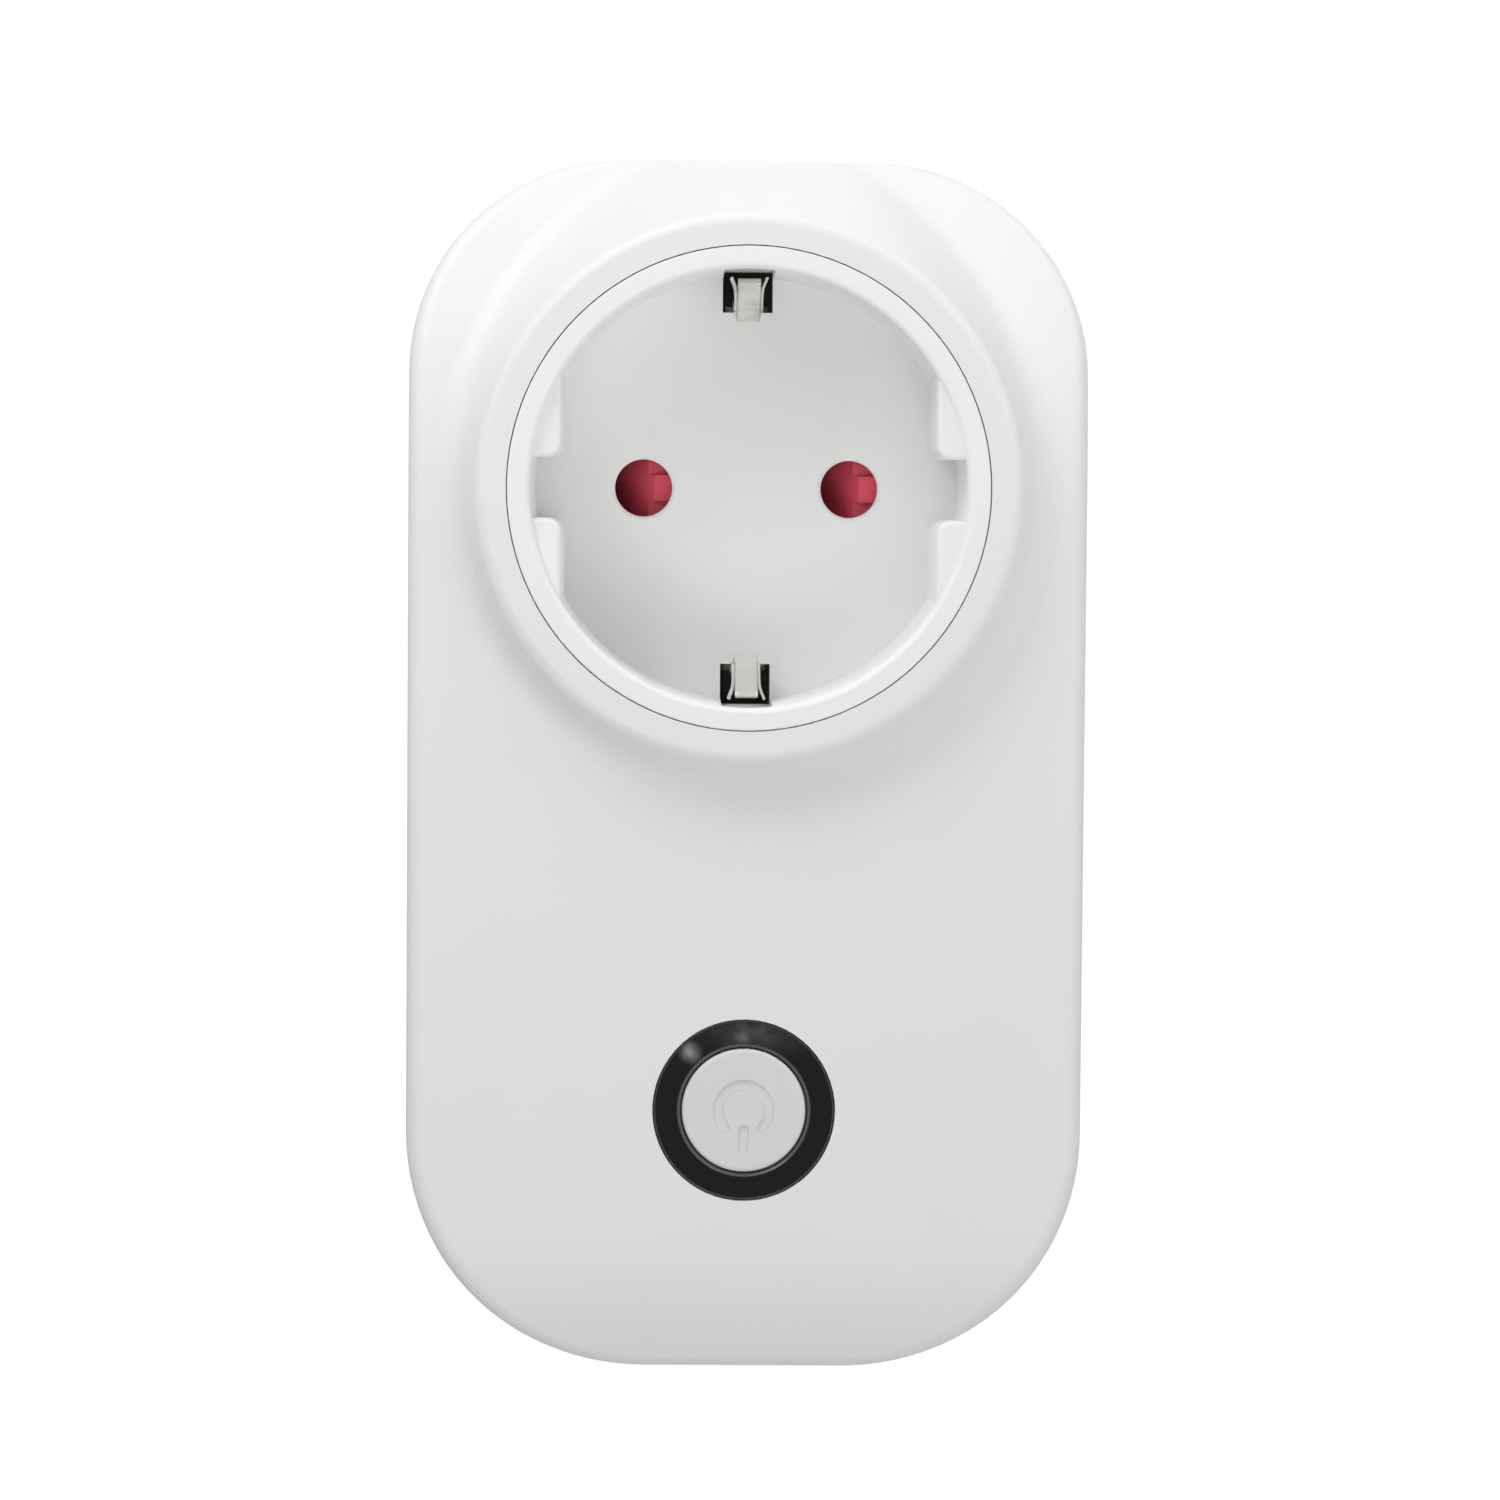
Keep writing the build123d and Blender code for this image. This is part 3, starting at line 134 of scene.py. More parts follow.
def makeCamera():
    data = bpy.data.cameras.new("productCamera")
    data.lens = view["lens"]
    data.sensor_width = view["sensor"]
    data.clip_start = view["nearest"] * mm
    data.clip_end = view["farthest"] * mm
    camera = bpy.data.objects.new("productCamera", data)
    turn = (
        Matrix.Rotation(math.radians(-view["yaw"]), 4, "Z")
        @ Matrix.Rotation(math.radians(90 - view["pitch"]), 4, "X")
        @ Matrix.Rotation(math.radians(view["roll"]), 4, "Z")
    )
    camera.matrix_world = Matrix.Translation(Vector(view["place"]) * mm) @ turn
    bpy.context.scene.collection.objects.link(camera)
    bpy.context.scene.camera = camera


makeCamera()
print("camera placed")

# studio: white surroundings, reflectors low in front, softboxes and lamps above and behind,
# and a pale table some way under the object
studio = {
    "surround": "ffffff",
    "surroundStrength": 0.35,  # what lights the object
    "backdropStrength": 1.05,  # what shows behind it
    "floorDrop": 290.0,
    "floorRadius": 420.0,
    "floorColour": "f1f1ef",
    "floorShade": "ececea",
    "floorRoughness": 0.7,
    "floorCloud": 100.0,  # width of the table's faint cloudy patches
    "aim": (0, -40, -20),
    "lights": {
        "frontReflector": {"place": (0, -859, -594), "size": 600, "power": 3.5, "glossy": False},
        "rightReflector": {"place": (694, -623, -443), "size": 600, "power": 1.7, "glossy": False},
        "topSoftbox": {"place": (-60, -60, 900), "size": 500, "power": 1.0},
        "rightSoftbox": {"place": (763, -107, 623), "size": 600, "power": 1.1},
        "topLeftLamp": {"place": (-187, -197, 271), "size": 200, "power": 0.5},
        "topRightLamp": {"place": (187, -197, 271), "size": 200, "power": 0.18},
        "frontLeftLamp": {"place": (-184, -359, 238), "size": 200, "power": 0.22},
        "backSoftbox": {"place": (300, 900, 420), "size": 700, "power": 6.5},
    },
}


def makeStudio():
    world = bpy.data.worlds.new("whiteStudio")
    world.use_nodes = True
    tree = world.node_tree
    tree.nodes.clear()
    lit, shown = [
        addNode(tree, "ShaderNodeBackground", links={
            "Color": studio["surround"], "Strength": studio[strength]})
        for strength in ("surroundStrength", "backdropStrength")
    ]
    path = addNode(tree, "ShaderNodeLightPath")
    both = addNode(tree, "ShaderNodeMixShader", links={"Fac": path.outputs["Is Camera Ray"]})
    tree.links.new(lit.outputs["Background"], both.inputs[1])
    tree.links.new(shown.outputs["Background"], both.inputs[2])
    addNode(tree, "ShaderNodeOutputWorld", links={"Surface": both.outputs["Shader"]})
    bpy.context.scene.world = world
    for name, light in studio["lights"].items():
        data = bpy.data.lights.new(name, "AREA")
        data.shape = "SQUARE"
        data.size = light["size"] * mm
        data.energy = light["power"]
        lamp = bpy.data.objects.new(name, data)
        place = Vector(light["place"]) * mm
        lamp.location = place
        lamp.visible_glossy = light.get("glossy", True)  # a white card's own shape never shows in gloss
        aimed = Vector(studio["aim"]) * mm - place
        lamp.rotation_euler = aimed.to_track_quat("-Z", "Y").to_euler()
        bpy.context.scene.collection.objects.link(lamp)
    bpy.context.scene.view_settings.view_transform = "Standard"


def makeFloor():
    # a round pale table top, matt lacquered
    mesh = bpy.data.meshes.new("paleTable")
    shape = bmesh.new()
    bmesh.ops.create_circle(shape, cap_ends=True, segments=96, radius=studio["floorRadius"] * mm)
    shape.to_mesh(mesh)
    shape.free()
    table = bpy.data.objects.new("paleTable", mesh)
    table.location = (0, 0, -studio["floorDrop"] * mm)
    bpy.context.scene.collection.objects.link(table)
    material, tree, shader, place = startMaterial("mattLacquer", {"Roughness": studio["floorRoughness"]})
    cloud = addNode(tree, "ShaderNodeTexNoise", links={
        "Vector": place, "Scale": 1 / studio["floorCloud"], "Detail": 2.0})
    addNode(tree, "ShaderNodeMix", colourMix, {
        "Factor": cloud.outputs["Fac"], "A": studio["floorColour"], "B": studio["floorShade"]},
        onward={"Result": shader.inputs["Base Color"]})
    mesh.materials.append(material)
    table.visible_diffuse = False  # the table top throws no light up on to the casing


makeStudio()
makeFloor()
print("studio lit")


# casing: ABS and polycarbonate blend, moulded in a spark-eroded tool
casing = {
    "colour": "f4f4f3",
    "shadeColour": "f1f1f0",
    "roughness": 0.5,
    "grainSize": 0.22,  # the real grain is about 0.08, too fine to show
    "grainDepth": 0.004,
    "flowSize": 14.0,  # faint swirls where the melt met
    "speckSize": 2.6,  # rare dark specks of degraded resin, at most one in a cell of this size
    "speckColour": "c9c8c4",
    "speckRadius": 0.035,  # share of a cell
    "speckRarity": 0.9,  # share of the cells without one
    "speckStrength": 0.5,
    "glow": 0.05,  # share of the light that goes into the plastic, and how deep
    "glowDepth": 0.4,
}


def sparkErodedPlastic(name, settings):
    # the tool's fine pits leave an even dull grain, so lights show as wide soft patches
    material, tree, shader, place = startMaterial(name, {
        "Roughness": settings["roughness"], "IOR": 1.53,
        "Subsurface Weight": settings["glow"], "Subsurface Scale": settings["glowDepth"] * mm,
        "Subsurface Radius": (1.0, 0.9, 0.8),
    })
    flow = addNode(tree, "ShaderNodeTexNoise", links={
        "Vector": place, "Scale": 1 / settings["flowSize"], "Detail": 2.0, "Distortion": 0.6})
    tint = addNode(tree, "ShaderNodeMix", colourMix, {
        "Factor": flow.outputs["Fac"], "A": settings["colour"], "B": settings["shadeColour"]})
    cells = addNode(tree, "ShaderNodeTexVoronoi", links={
        "Vector": place, "Scale": 1 / settings["speckSize"], "Randomness": 1.0})
    spot = addNode(tree, "ShaderNodeMath", {"operation": "LESS_THAN"}, {
        0: cells.outputs["Distance"], 1: settings["speckRadius"]})
    chance = addNode(tree, "ShaderNodeSeparateColor", links={"Color": cells.outputs["Color"]})
    rare = addNode(tree, "ShaderNodeMath", {"operation": "GREATER_THAN"}, {
        0: chance.outputs["Red"], 1: settings["speckRarity"]})
    speck = addNode(tree, "ShaderNodeMath", {"operation": "MULTIPLY"}, {
        0: spot.outputs[0], 1: rare.outputs[0]})
    faded = addNode(tree, "ShaderNodeMath", {"operation": "MULTIPLY"}, {
        0: speck.outputs[0], 1: settings["speckStrength"]})
    addNode(tree, "ShaderNodeMix", colourMix, {
        "Factor": faded.outputs[0], "A": tint.outputs["Result"], "B": settings["speckColour"]},
        onward={"Result": shader.inputs["Base Color"]})
    raiseGrain(tree, shader, place, settings["grainSize"], settings["grainDepth"], 0.5, roughness=0.6)
    return material


shellFinish = sparkErodedPlastic("sparkErodedPlastic", casing)
dress(shellFinish, "front_shell", "rear_shell")
# the insert is a moulding of its own, a shade whiter than the casing: painted light that lifts the shade in
# the socket's well
insertFinish = sparkErodedPlastic("mouldedInsert", dict(casing, colour="fbfbfa", shadeColour="f9f9f8"))
dress(insertFinish, "socket_insert")

# button cap: the same plastic from a polished and then finely blasted tool, a shade greyer
cap = dict(casing, colour="e6e6e5", shadeColour="e3e3e2", roughness=0.42,
           grainSize=0.14, grainDepth=0.002)
dress(sparkErodedPlastic("fineBlastedPlastic", cap), "button_cap")

# inner mouldings: glass-filled nylon and polyester, duller than the casing
innerPlastics = {
    "greyNylon": {"colour": "3a3b3d", "shadeColour": "333436", "parts": ("shutter_carrier",)},
    "blackPolyester": {"colour": "1c1c1e", "shadeColour": "242426",
                       "parts": ("switch_body", "switch_plunger", "board_header")},
    "relayPolyester": {"colour": "1b2430", "shadeColour": "202a37", "parts": ("relay_case", "relay_base")},
    "yellowFilmBox": {"colour": "d9b23c", "shadeColour": "cfa832", "parts": ("mains_capacitor",)},
    "blueVaristorCoat": {"colour": "27579a", "shadeColour": "1f4d8c", "parts": ("varistor",)},
    "mouldedEpoxy": {"colour": "1a1a1b", "shadeColour": "202021",
                     "parts": ("bridge_rectifier", "converter_chip", "metering_chip")},
}
for name, finish in innerPlastics.items():
    settings = dict(casing, roughness=0.55, grainDepth=0.008, speckColour=finish["shadeColour"])
    settings.update(colour=finish["colour"], shadeColour=finish["shadeColour"])
    dress(sparkErodedPlastic(name, settings), *finish["parts"])

# shutter: red acetal, injection moulded
acetal = {
    "colour": "ff687d",
    "shadeColour": "f75a70",
    "roughness": 0.36,
    "grainSize": 0.3,
    "grainDepth": 0.004,
    "glow": 0.25,
    "glowDepth": 0.5,
}


def mouldedAcetal():
    # waxy and slightly see-through, so light softens its edges and its shade turns deep red
    material, tree, shader, place = startMaterial("mouldedAcetal", {
        "Roughness": acetal["roughness"], "IOR": 1.48,
        "Subsurface Weight": acetal["glow"], "Subsurface Scale": acetal["glowDepth"] * mm,
        "Subsurface Radius": (1.0, 0.25, 0.25),
    })
    grain = raiseGrain(tree, shader, place, acetal["grainSize"], acetal["grainDepth"], 0.6)
    addNode(tree, "ShaderNodeMix", colourMix, {
        "Factor": grain, "A": acetal["colour"], "B": acetal["shadeColour"]},
        onward={"Result": shader.inputs["Base Color"]})
    return material


dress(mouldedAcetal(), "shutter")

# light ring: smoke-tinted polycarbonate, gloss moulded, with painted light on it: grey patches of painted
# glow, a wide painted highlight over its top, and thin painted highlights at the lip and the outer edge
smoke = {
    "colour": "09090a",
    # colour of the painted glow and the painted highlights
    "paintedLightColour": "8c8c8e",
    "roughness": 0.26,
    # for each patch of painted light: angle round the ring, distance from its axis, size across and size
    # along, strength
    "paintedLightPatches": ((90.0, 6.55, 1.4, 0.9, 0.88), (133.0, 7.15, 1.3, 1.5, 2.88), (84.0, 7.2, 8.5, 3.0, 0.48)),
    "paintedPatchDepth": 20.0,
    "cloudSize": 1.2,
    "cloudDepth": 0.01,
    "lipHighlightReach": 6.06,  # the lip at the bore gets a thin painted highlight out to here
    "lipHighlightFade": 0.12,
    "edgeHighlightReach": 7.97,  # and a thin painted highlight at the outer edge from here
    "edgeHighlightFade": 0.08,
    # strength of the painted highlights at the lip and the outer edge
    "rimHighlightStrength": 0.42,
}


def smokedPolycarbonate():
    # nearly black, with a hard gloss; painted glow and painted highlights show as faint grey patches and
    # lines
    centre = middleOf("light_ring")
    material, tree, shader, place = startMaterial("smokedPolycarbonate", {
        "Roughness": smoke["roughness"], "IOR": 1.46,
    })
    # grey patches of painted glow, and one wide painted highlight over the top
    glowSum = 0.0
    for angle, reach, across, along, strength in smoke["paintedLightPatches"]:
        turn = math.radians(angle)
        spot = Vector((centre.x + reach * math.cos(turn), centre.y, centre.z + reach * math.sin(turn)))
        moved = addNode(tree, "ShaderNodeMapping", {"vector_type": "TEXTURE"}, {
            "Vector": place, "Location": spot, "Rotation": (0, -turn, 0),
            "Scale": (along, smoke["paintedPatchDepth"], across)})
        ball = addNode(tree, "ShaderNodeTexGradient", {"gradient_type": "QUADRATIC_SPHERE"},
                       {"Vector": moved.outputs["Vector"]})
        patch = addNode(tree, "ShaderNodeMath", {"operation": "MULTIPLY_ADD"}, {
            0: ball.outputs["Fac"], 1: strength, 2: glowSum})
        glowSum = patch.outputs[0]
    cloud = raiseGrain(tree, shader, place, smoke["cloudSize"], smoke["cloudDepth"], 0.2, detail=2.0)
    # the grain makes the painted glow uneven
    unevenGlow = addNode(tree, "ShaderNodeMath", {"operation": "MULTIPLY"}, {0: glowSum, 1: cloud})
    flat = addNode(tree, "ShaderNodeVectorMath", {"operation": "MULTIPLY_ADD"}, {
        0: place, 1: (1, 0, 1), 2: (-centre.x, 0, -centre.z)})
    reach = addNode(tree, "ShaderNodeVectorMath", {"operation": "LENGTH"}, {0: flat.outputs["Vector"]})
    # thin painted highlights round the lip at the bore and at the outer edge
    rimHighlights = []
    for clear, brightest in ((smoke["lipHighlightReach"], smoke["lipHighlightReach"] - smoke["lipHighlightFade"]),
                           (smoke["edgeHighlightReach"], smoke["edgeHighlightReach"] + smoke["edgeHighlightFade"])):
        rimHighlights.append(addNode(tree, "ShaderNodeMapRange", links={
            "Value": reach.outputs["Value"], "From Min": clear, "From Max": brightest,
            "To Max": smoke["rimHighlightStrength"]}).outputs[0])
    rimHighlight = addNode(tree, "ShaderNodeMath", {"operation": "MAXIMUM"}, dict(enumerate(rimHighlights)))
    paintedLight = addNode(tree, "ShaderNodeMath", {"operation": "MAXIMUM", "use_clamp": True}, {
        0: rimHighlight.outputs[0], 1: unevenGlow.outputs[0]})
    # the painted light lightens the smoke's own colour
    addNode(tree, "ShaderNodeMix", colourMix, {
        "Factor": paintedLight.outputs[0], "A": smoke["colour"], "B": smoke["paintedLightColour"]},
        onward={"Result": shader.inputs["Base Color"]})
    return material


smokeFinish = smokedPolycarbonate()

# metals: colour, roughness, scratch spacing and depth, the way the scratches run, and dark stain
metals = {
    "brightNickelPlate": {"colour": "d2d0cb", "stain": "a9a6a0", "roughness": 0.16,
                          "scratchSize": 0.12, "scratchDepth": 0.0012, "run": (1.0, 0.08, 1.0),
                          "parts": ("live_pin", "neutral_pin", "plug_earth_bridge")},
    "stampedBrass": {"colour": "d8b56a", "stain": "a9843f", "roughness": 0.28,
                     "scratchSize": 0.15, "scratchDepth": 0.002, "run": (1.0, 0.1, 1.0),
                     "parts": ("live_contact", "neutral_contact", "earth_sleeve", "header_pins")},
    "tinnedSteel": {"colour": "c4c6c8", "stain": "9a9da0", "roughness": 0.36,
                    "scratchSize": 0.4, "scratchDepth": 0.003, "run": (1.0, 1.0, 1.0),
                    "parts": ("radio_shield", "wire_terminals")},
    "zincPlatedSteel": {"colour": "b4b7ba", "stain": "84878c", "roughness": 0.32,
                        "scratchSize": 0.25, "scratchDepth": 0.002, "run": (1.0, 0.3, 1.0),
                        "parts": ("shell_screws", "board_screws", "control_screws", "carrier_screws")},
    "drawnSpringSteel": {"colour": "a9a9ab", "stain": "77777a", "roughness": 0.25,
                         "scratchSize": 0.1, "scratchDepth": 0.001, "run": (0.1, 1.0, 1.0),
                         "parts": ()},
    "rolledManganin": {"colour": "b98d6b", "stain": "8f6a50", "roughness": 0.34,
                       "scratchSize": 0.15, "scratchDepth": 0.002, "run": (0.1, 1.0, 1.0),
                       "parts": ("shunt",)},
    "satinNickelPlate": {"colour": "f0eeea", "stain": "c9c6c0", "roughness": 0.34,
                         "scratchSize": 0.12, "scratchDepth": 0.0012, "run": (1.0, 0.08, 1.0),
                         "parts": ()},
}
handling = {"patchSize": 3.5, "startsAt": 0.52, "fullAt": 0.75, "most": 0.7,  # stain left by handling
            "scratchLow": 0.3, "scratchHigh": 0.7,  # of the pattern, from polished to scuffed
            "polished": 0.75, "scuffed": 1.35}  # a metal's own roughness times these


def workedMetal(name, settings):
    # fine scratches stretch the highlights one way, and handling leaves duller, browner patches
    material, tree, shader, place = startMaterial(name, {"Metallic": 1.0})
    stretched = addNode(tree, "ShaderNodeVectorMath", {"operation": "MULTIPLY"},
                        {0: place, 1: settings["run"]})
    scratch = raiseGrain(tree, shader, stretched.outputs["Vector"],
                         settings["scratchSize"], settings["scratchDepth"], 0.5, detail=4.0)
    patches = addNode(tree, "ShaderNodeTexNoise", links={
        "Vector": place, "Scale": 1 / handling["patchSize"], "Detail": 3.0, "Roughness": 0.65})
    worn = addNode(tree, "ShaderNodeMapRange", links={
        "Value": patches.outputs["Fac"], "From Min": handling["startsAt"], "From Max": handling["fullAt"],
        "To Max": handling["most"]})
    addNode(tree, "ShaderNodeMix", colourMix, {
        "Factor": worn.outputs["Result"], "A": settings["colour"], "B": settings["stain"]},
        onward={"Result": shader.inputs["Base Color"]})
    addNode(tree, "ShaderNodeMapRange", links={
        "Value": scratch, "From Min": handling["scratchLow"], "From Max": handling["scratchHigh"],
        "To Min": settings["roughness"] * handling["polished"],
        "To Max": settings["roughness"] * handling["scuffed"]},
        onward={"Result": shader.inputs["Roughness"]})
    return material


metalFinishes = {name: workedMetal(name, settings) for name, settings in metals.items()}
for name, settings in metals.items():
    dress(metalFinishes[name], *settings["parts"])
print("casing, shutter and metals finished")

# printed circuit boards: glass-epoxy laminate, etched copper under a green lacquer
laminate = {
    "lacquer": "1c5a34",
    "copperUnder": "2f7a47",  # lacquer over a track
    "roughness": 0.3,
    "trackSpacing": 2.2,
    "trackPlace": 0.32,  # from a cell's middle, and the width, as shares of a cell
    "trackWidth": 0.11,
    "trackHeight": 0.04,
}


def lacqueredLaminate():
    # tracks stand a little proud and show lighter through the lacquer, which has an even gloss
    material, tree, shader, place = startMaterial("lacqueredLaminate", {
        "Roughness": laminate["roughness"], "IOR": 1.52, "Coat Weight": 0.4, "Coat Roughness": 0.15})
    tracks = addNode(tree, "ShaderNodeTexVoronoi", {"distance": "CHEBYCHEV", "feature": "F1"}, {
        "Vector": place, "Scale": 1 / laminate["trackSpacing"], "Randomness": 0.55})
    line = addNode(tree, "ShaderNodeMath", {"operation": "COMPARE"}, {
        0: tracks.outputs["Distance"], 1: laminate["trackPlace"], 2: laminate["trackWidth"]})
    addNode(tree, "ShaderNodeMix", colourMix, {
        "Factor": line.outputs[0], "A": laminate["lacquer"], "B": laminate["copperUnder"]},
        onward={"Result": shader.inputs["Base Color"]})
    addNode(tree, "ShaderNodeBump", links={
        "Height": line.outputs[0], "Strength": 0.6, "Distance": laminate["trackHeight"] * mm},
        onward={"Normal": shader.inputs["Normal"]})
    return material


dress(lacqueredLaminate(), "main_board", "control_board", "radio_module")

# aluminium electrolytic cans in a shrunk vinyl sleeve, bare at the vented top
can = {
    "sleeve": "1d2733",
    "stripe": "8f9aa6",
    "metal": "d4d6d8",
    "sleeveLip": 0.7,  # sleeve folded over the edge of the top
    "stripeHalfAngle": 24.0,
    "drawSize": 0.5,  # marks of the deep drawing, and the same unevenness in the sleeve
    "drawDepth": 0.01,
    "gloss": (0.22, 0.4),
}


def sleevedCan(nodeName):
    # dark glossy sleeve with a paler stripe down one side, and a dull bright top
    low, high = edgesOf(nodeName)
    centre = (low + high) / 2
    radius = (high.x - low.x) / 2
    material, tree, shader, place = startMaterial("sleevedCan_" + nodeName, {"IOR": 1.5})
    offset = addNode(tree, "ShaderNodeVectorMath", {"operation": "SUBTRACT"}, {0: place, 1: centre})
    axes = addNode(tree, "ShaderNodeSeparateXYZ", links={"Vector": offset.outputs["Vector"]})
    flat = addNode(tree, "ShaderNodeCombineXYZ", links={"X": axes.outputs["X"], "Y": axes.outputs["Z"]})
    reach = addNode(tree, "ShaderNodeVectorMath", {"operation": "LENGTH"}, {0: flat.outputs["Vector"]})
    inside = addNode(tree, "ShaderNodeMath", {"operation": "LESS_THAN"}, {
        0: reach.outputs["Value"], 1: radius - can["sleeveLip"]})
    atTop = addNode(tree, "ShaderNodeMath", {"operation": "LESS_THAN"}, {0: axes.outputs["Y"], 1: 0.0})
    bare = addNode(tree, "ShaderNodeMath", {"operation": "MULTIPLY"}, {
        0: inside.outputs[0], 1: atTop.outputs[0]})
    angle = addNode(tree, "ShaderNodeMath", {"operation": "ARCTAN2"}, {
        0: axes.outputs["Z"], 1: axes.outputs["X"]})
    striped = addNode(tree, "ShaderNodeMath", {"operation": "COMPARE"}, {
        0: angle.outputs[0], 1: 0.0, 2: math.radians(can["stripeHalfAngle"])})
    sleeve = addNode(tree, "ShaderNodeMix", colourMix, {
        "Factor": striped.outputs[0], "A": can["sleeve"], "B": can["stripe"]}).outputs["Result"]
    addNode(tree, "ShaderNodeMix", colourMix, {
        "Factor": bare.outputs[0], "A": sleeve, "B": can["metal"]},
        onward={"Result": shader.inputs["Base Color"]})
    tree.links.new(bare.outputs[0], shader.inputs["Metallic"])
    drawn = raiseGrain(tree, shader, place, can["drawSize"], can["drawDepth"], 0.3)
    addNode(tree, "ShaderNodeMapRange", links={
        "Value": drawn, "To Min": can["gloss"][0], "To Max": can["gloss"][1]},
        onward={"Result": shader.inputs["Roughness"]})
    return material


for canName in ("bulk_capacitor_1", "bulk_capacitor_2", "output_capacitor"):
    dress(sleevedCan(canName), canName)

# fuse: ceramic tube with pressed nickel caps at its ends
fuseLook = {"ceramic": "e6dfcf", "cap": "c9c9c6", "capLength": 2.5, "pitSize": 0.3, "gloss": (0.25, 0.55)}


def cappedCeramic():
    # chalky tube between two bright caps
    low, high = edgesOf("fuse")
    material, tree, shader, place = startMaterial("cappedCeramic", {"IOR": 1.6})
    axes = addNode(tree, "ShaderNodeSeparateXYZ", links={"Vector": place})
    tube = addNode(tree, "ShaderNodeMath", {"operation": "COMPARE"}, {
        0: axes.outputs["X"], 1: (low.x + high.x) / 2, 2: (high.x - low.x) / 2 - fuseLook["capLength"]})
    capped = addNode(tree, "ShaderNodeMath", {"operation": "SUBTRACT"}, {0: 1.0, 1: tube.outputs[0]})
    addNode(tree, "ShaderNodeMix", colourMix, {
        "Factor": tube.outputs[0], "A": fuseLook["cap"], "B": fuseLook["ceramic"]},
        onward={"Result": shader.inputs["Base Color"]})
    tree.links.new(capped.outputs[0], shader.inputs["Metallic"])
    pits = addNode(tree, "ShaderNodeTexNoise", links={
        "Vector": place, "Scale": 1 / fuseLook["pitSize"], "Detail": 3.0})
    addNode(tree, "ShaderNodeMapRange", links={
        "Value": pits.outputs["Fac"], "To Min": fuseLook["gloss"][0], "To Max": fuseLook["gloss"][1]},
        onward={"Result": shader.inputs["Roughness"]})
    return material


dress(cappedCeramic(), "fuse")

# ferrite, winding tape and diode packages
fineSolids = {
    "sinteredFerrite": {"colour": "2b2b2d", "second": "3b3a3b", "roughness": 0.6,
                        "size": 0.35, "depth": 0.02, "parts": ("transformer_core",)},
    "polyesterTape": {"colour": "e0b23a", "second": "d39f28", "roughness": 0.22,
                      "size": 2.2, "depth": 0.05, "parts": ("transformer_coil",)},
    "whiteDiodePackage": {"colour": "eeeee6", "second": "e3e2d8", "roughness": 0.4,
                          "size": 0.5, "depth": 0.005, "parts": ("ring_leds",)},
}


def speckledSolid(name, settings):
    # two close tones in grains or wraps of the real size
    material, tree, shader, place = startMaterial(name, {"Roughness": settings["roughness"], "IOR": 1.55})
    grain = raiseGrain(tree, shader, place, settings["size"], settings["depth"], 0.6, 4.0, 0.6)
    addNode(tree, "ShaderNodeMix", colourMix, {
        "Factor": grain, "A": settings["colour"], "B": settings["second"]},
        onward={"Result": shader.inputs["Base Color"]})
    return material


for name, settings in fineSolids.items():
    dress(speckledSolid(name, settings), *settings["parts"])

# wires: extruded vinyl over stranded copper
wires = {
    "brownVinyl": {"colour": "6b3a1e", "second": "75431f", "parts": ("live_wire", "load_wire")},
    "blueVinyl": {"colour": "2466b0", "second": "2b6fba", "parts": ("neutral_wire", "return_wire")},
}
vinylSkin = {"Roughness": 0.38, "IOR": 1.53}
strandLay = {"pitch": 3.0, "height": 0.02}  # one turn of the strands, and how much they show


def extrudedVinyl(name, settings):
    # soft satin skin; the strands beneath leave a faint slow ripple along the wire
    material, tree, shader, place = startMaterial(name, vinylSkin)
    ripple = addNode(tree, "ShaderNodeTexWave", {"wave_type": "BANDS", "bands_direction": "DIAGONAL"}, {
        "Vector": place, "Scale": 1 / strandLay["pitch"], "Distortion": 1.5, "Detail": 2.0})
    addNode(tree, "ShaderNodeMix", colourMix, {
        "Factor": ripple.outputs["Fac"], "A": settings["colour"], "B": settings["second"]},
        onward={"Result": shader.inputs["Base Color"]})
    addNode(tree, "ShaderNodeBump", links={
        "Height": ripple.outputs["Fac"], "Strength": 0.3, "Distance": strandLay["height"] * mm},
        onward={"Normal": shader.inputs["Normal"]})
    return material


for name, settings in wires.items():
    dress(extrudedVinyl(name, settings), *settings["parts"])

# the earth wire's vinyl is green with a yellow stripe wound round it
earthVinyl = {"green": "1f7a3a", "yellow": "e7cf2a", "stripePitch": 5.0, "greenShare": 0.55}


def stripedVinyl():
    # two clear colours in slanting bands, each with the same satin skin
    material, tree, shader, place = startMaterial("stripedVinyl", vinylSkin)
    band = addNode(tree, "ShaderNodeTexWave", {"wave_type": "BANDS", "bands_direction": "DIAGONAL"}, {
        "Vector": place, "Scale": 1 / earthVinyl["stripePitch"], "Distortion": 0.3})
    sharp = addNode(tree, "ShaderNodeMath", {"operation": "GREATER_THAN"}, {
        0: band.outputs["Fac"], 1: earthVinyl["greenShare"]})
    addNode(tree, "ShaderNodeMix", colourMix, {
        "Factor": sharp.outputs[0], "A": earthVinyl["green"], "B": earthVinyl["yellow"]},
        onward={"Result": shader.inputs["Base Color"]})
    return material


dress(stripedVinyl(), "earth_wire")

# rating label: silver polyester film with a printed frame and plain bars where its lines would be
labelLook = {
    "film": "d9dadb",
    "ink": "3c3e42",
    "frameInset": 1.2,
    "frameWidth": 0.3,
    "barPitch": 2.6,
    "barShare": 0.3,
    "barField": (10.0, 8.6),  # half sizes of the area with bars
    "grainSize": 0.4,
    "grainDepth": 0.01,
}


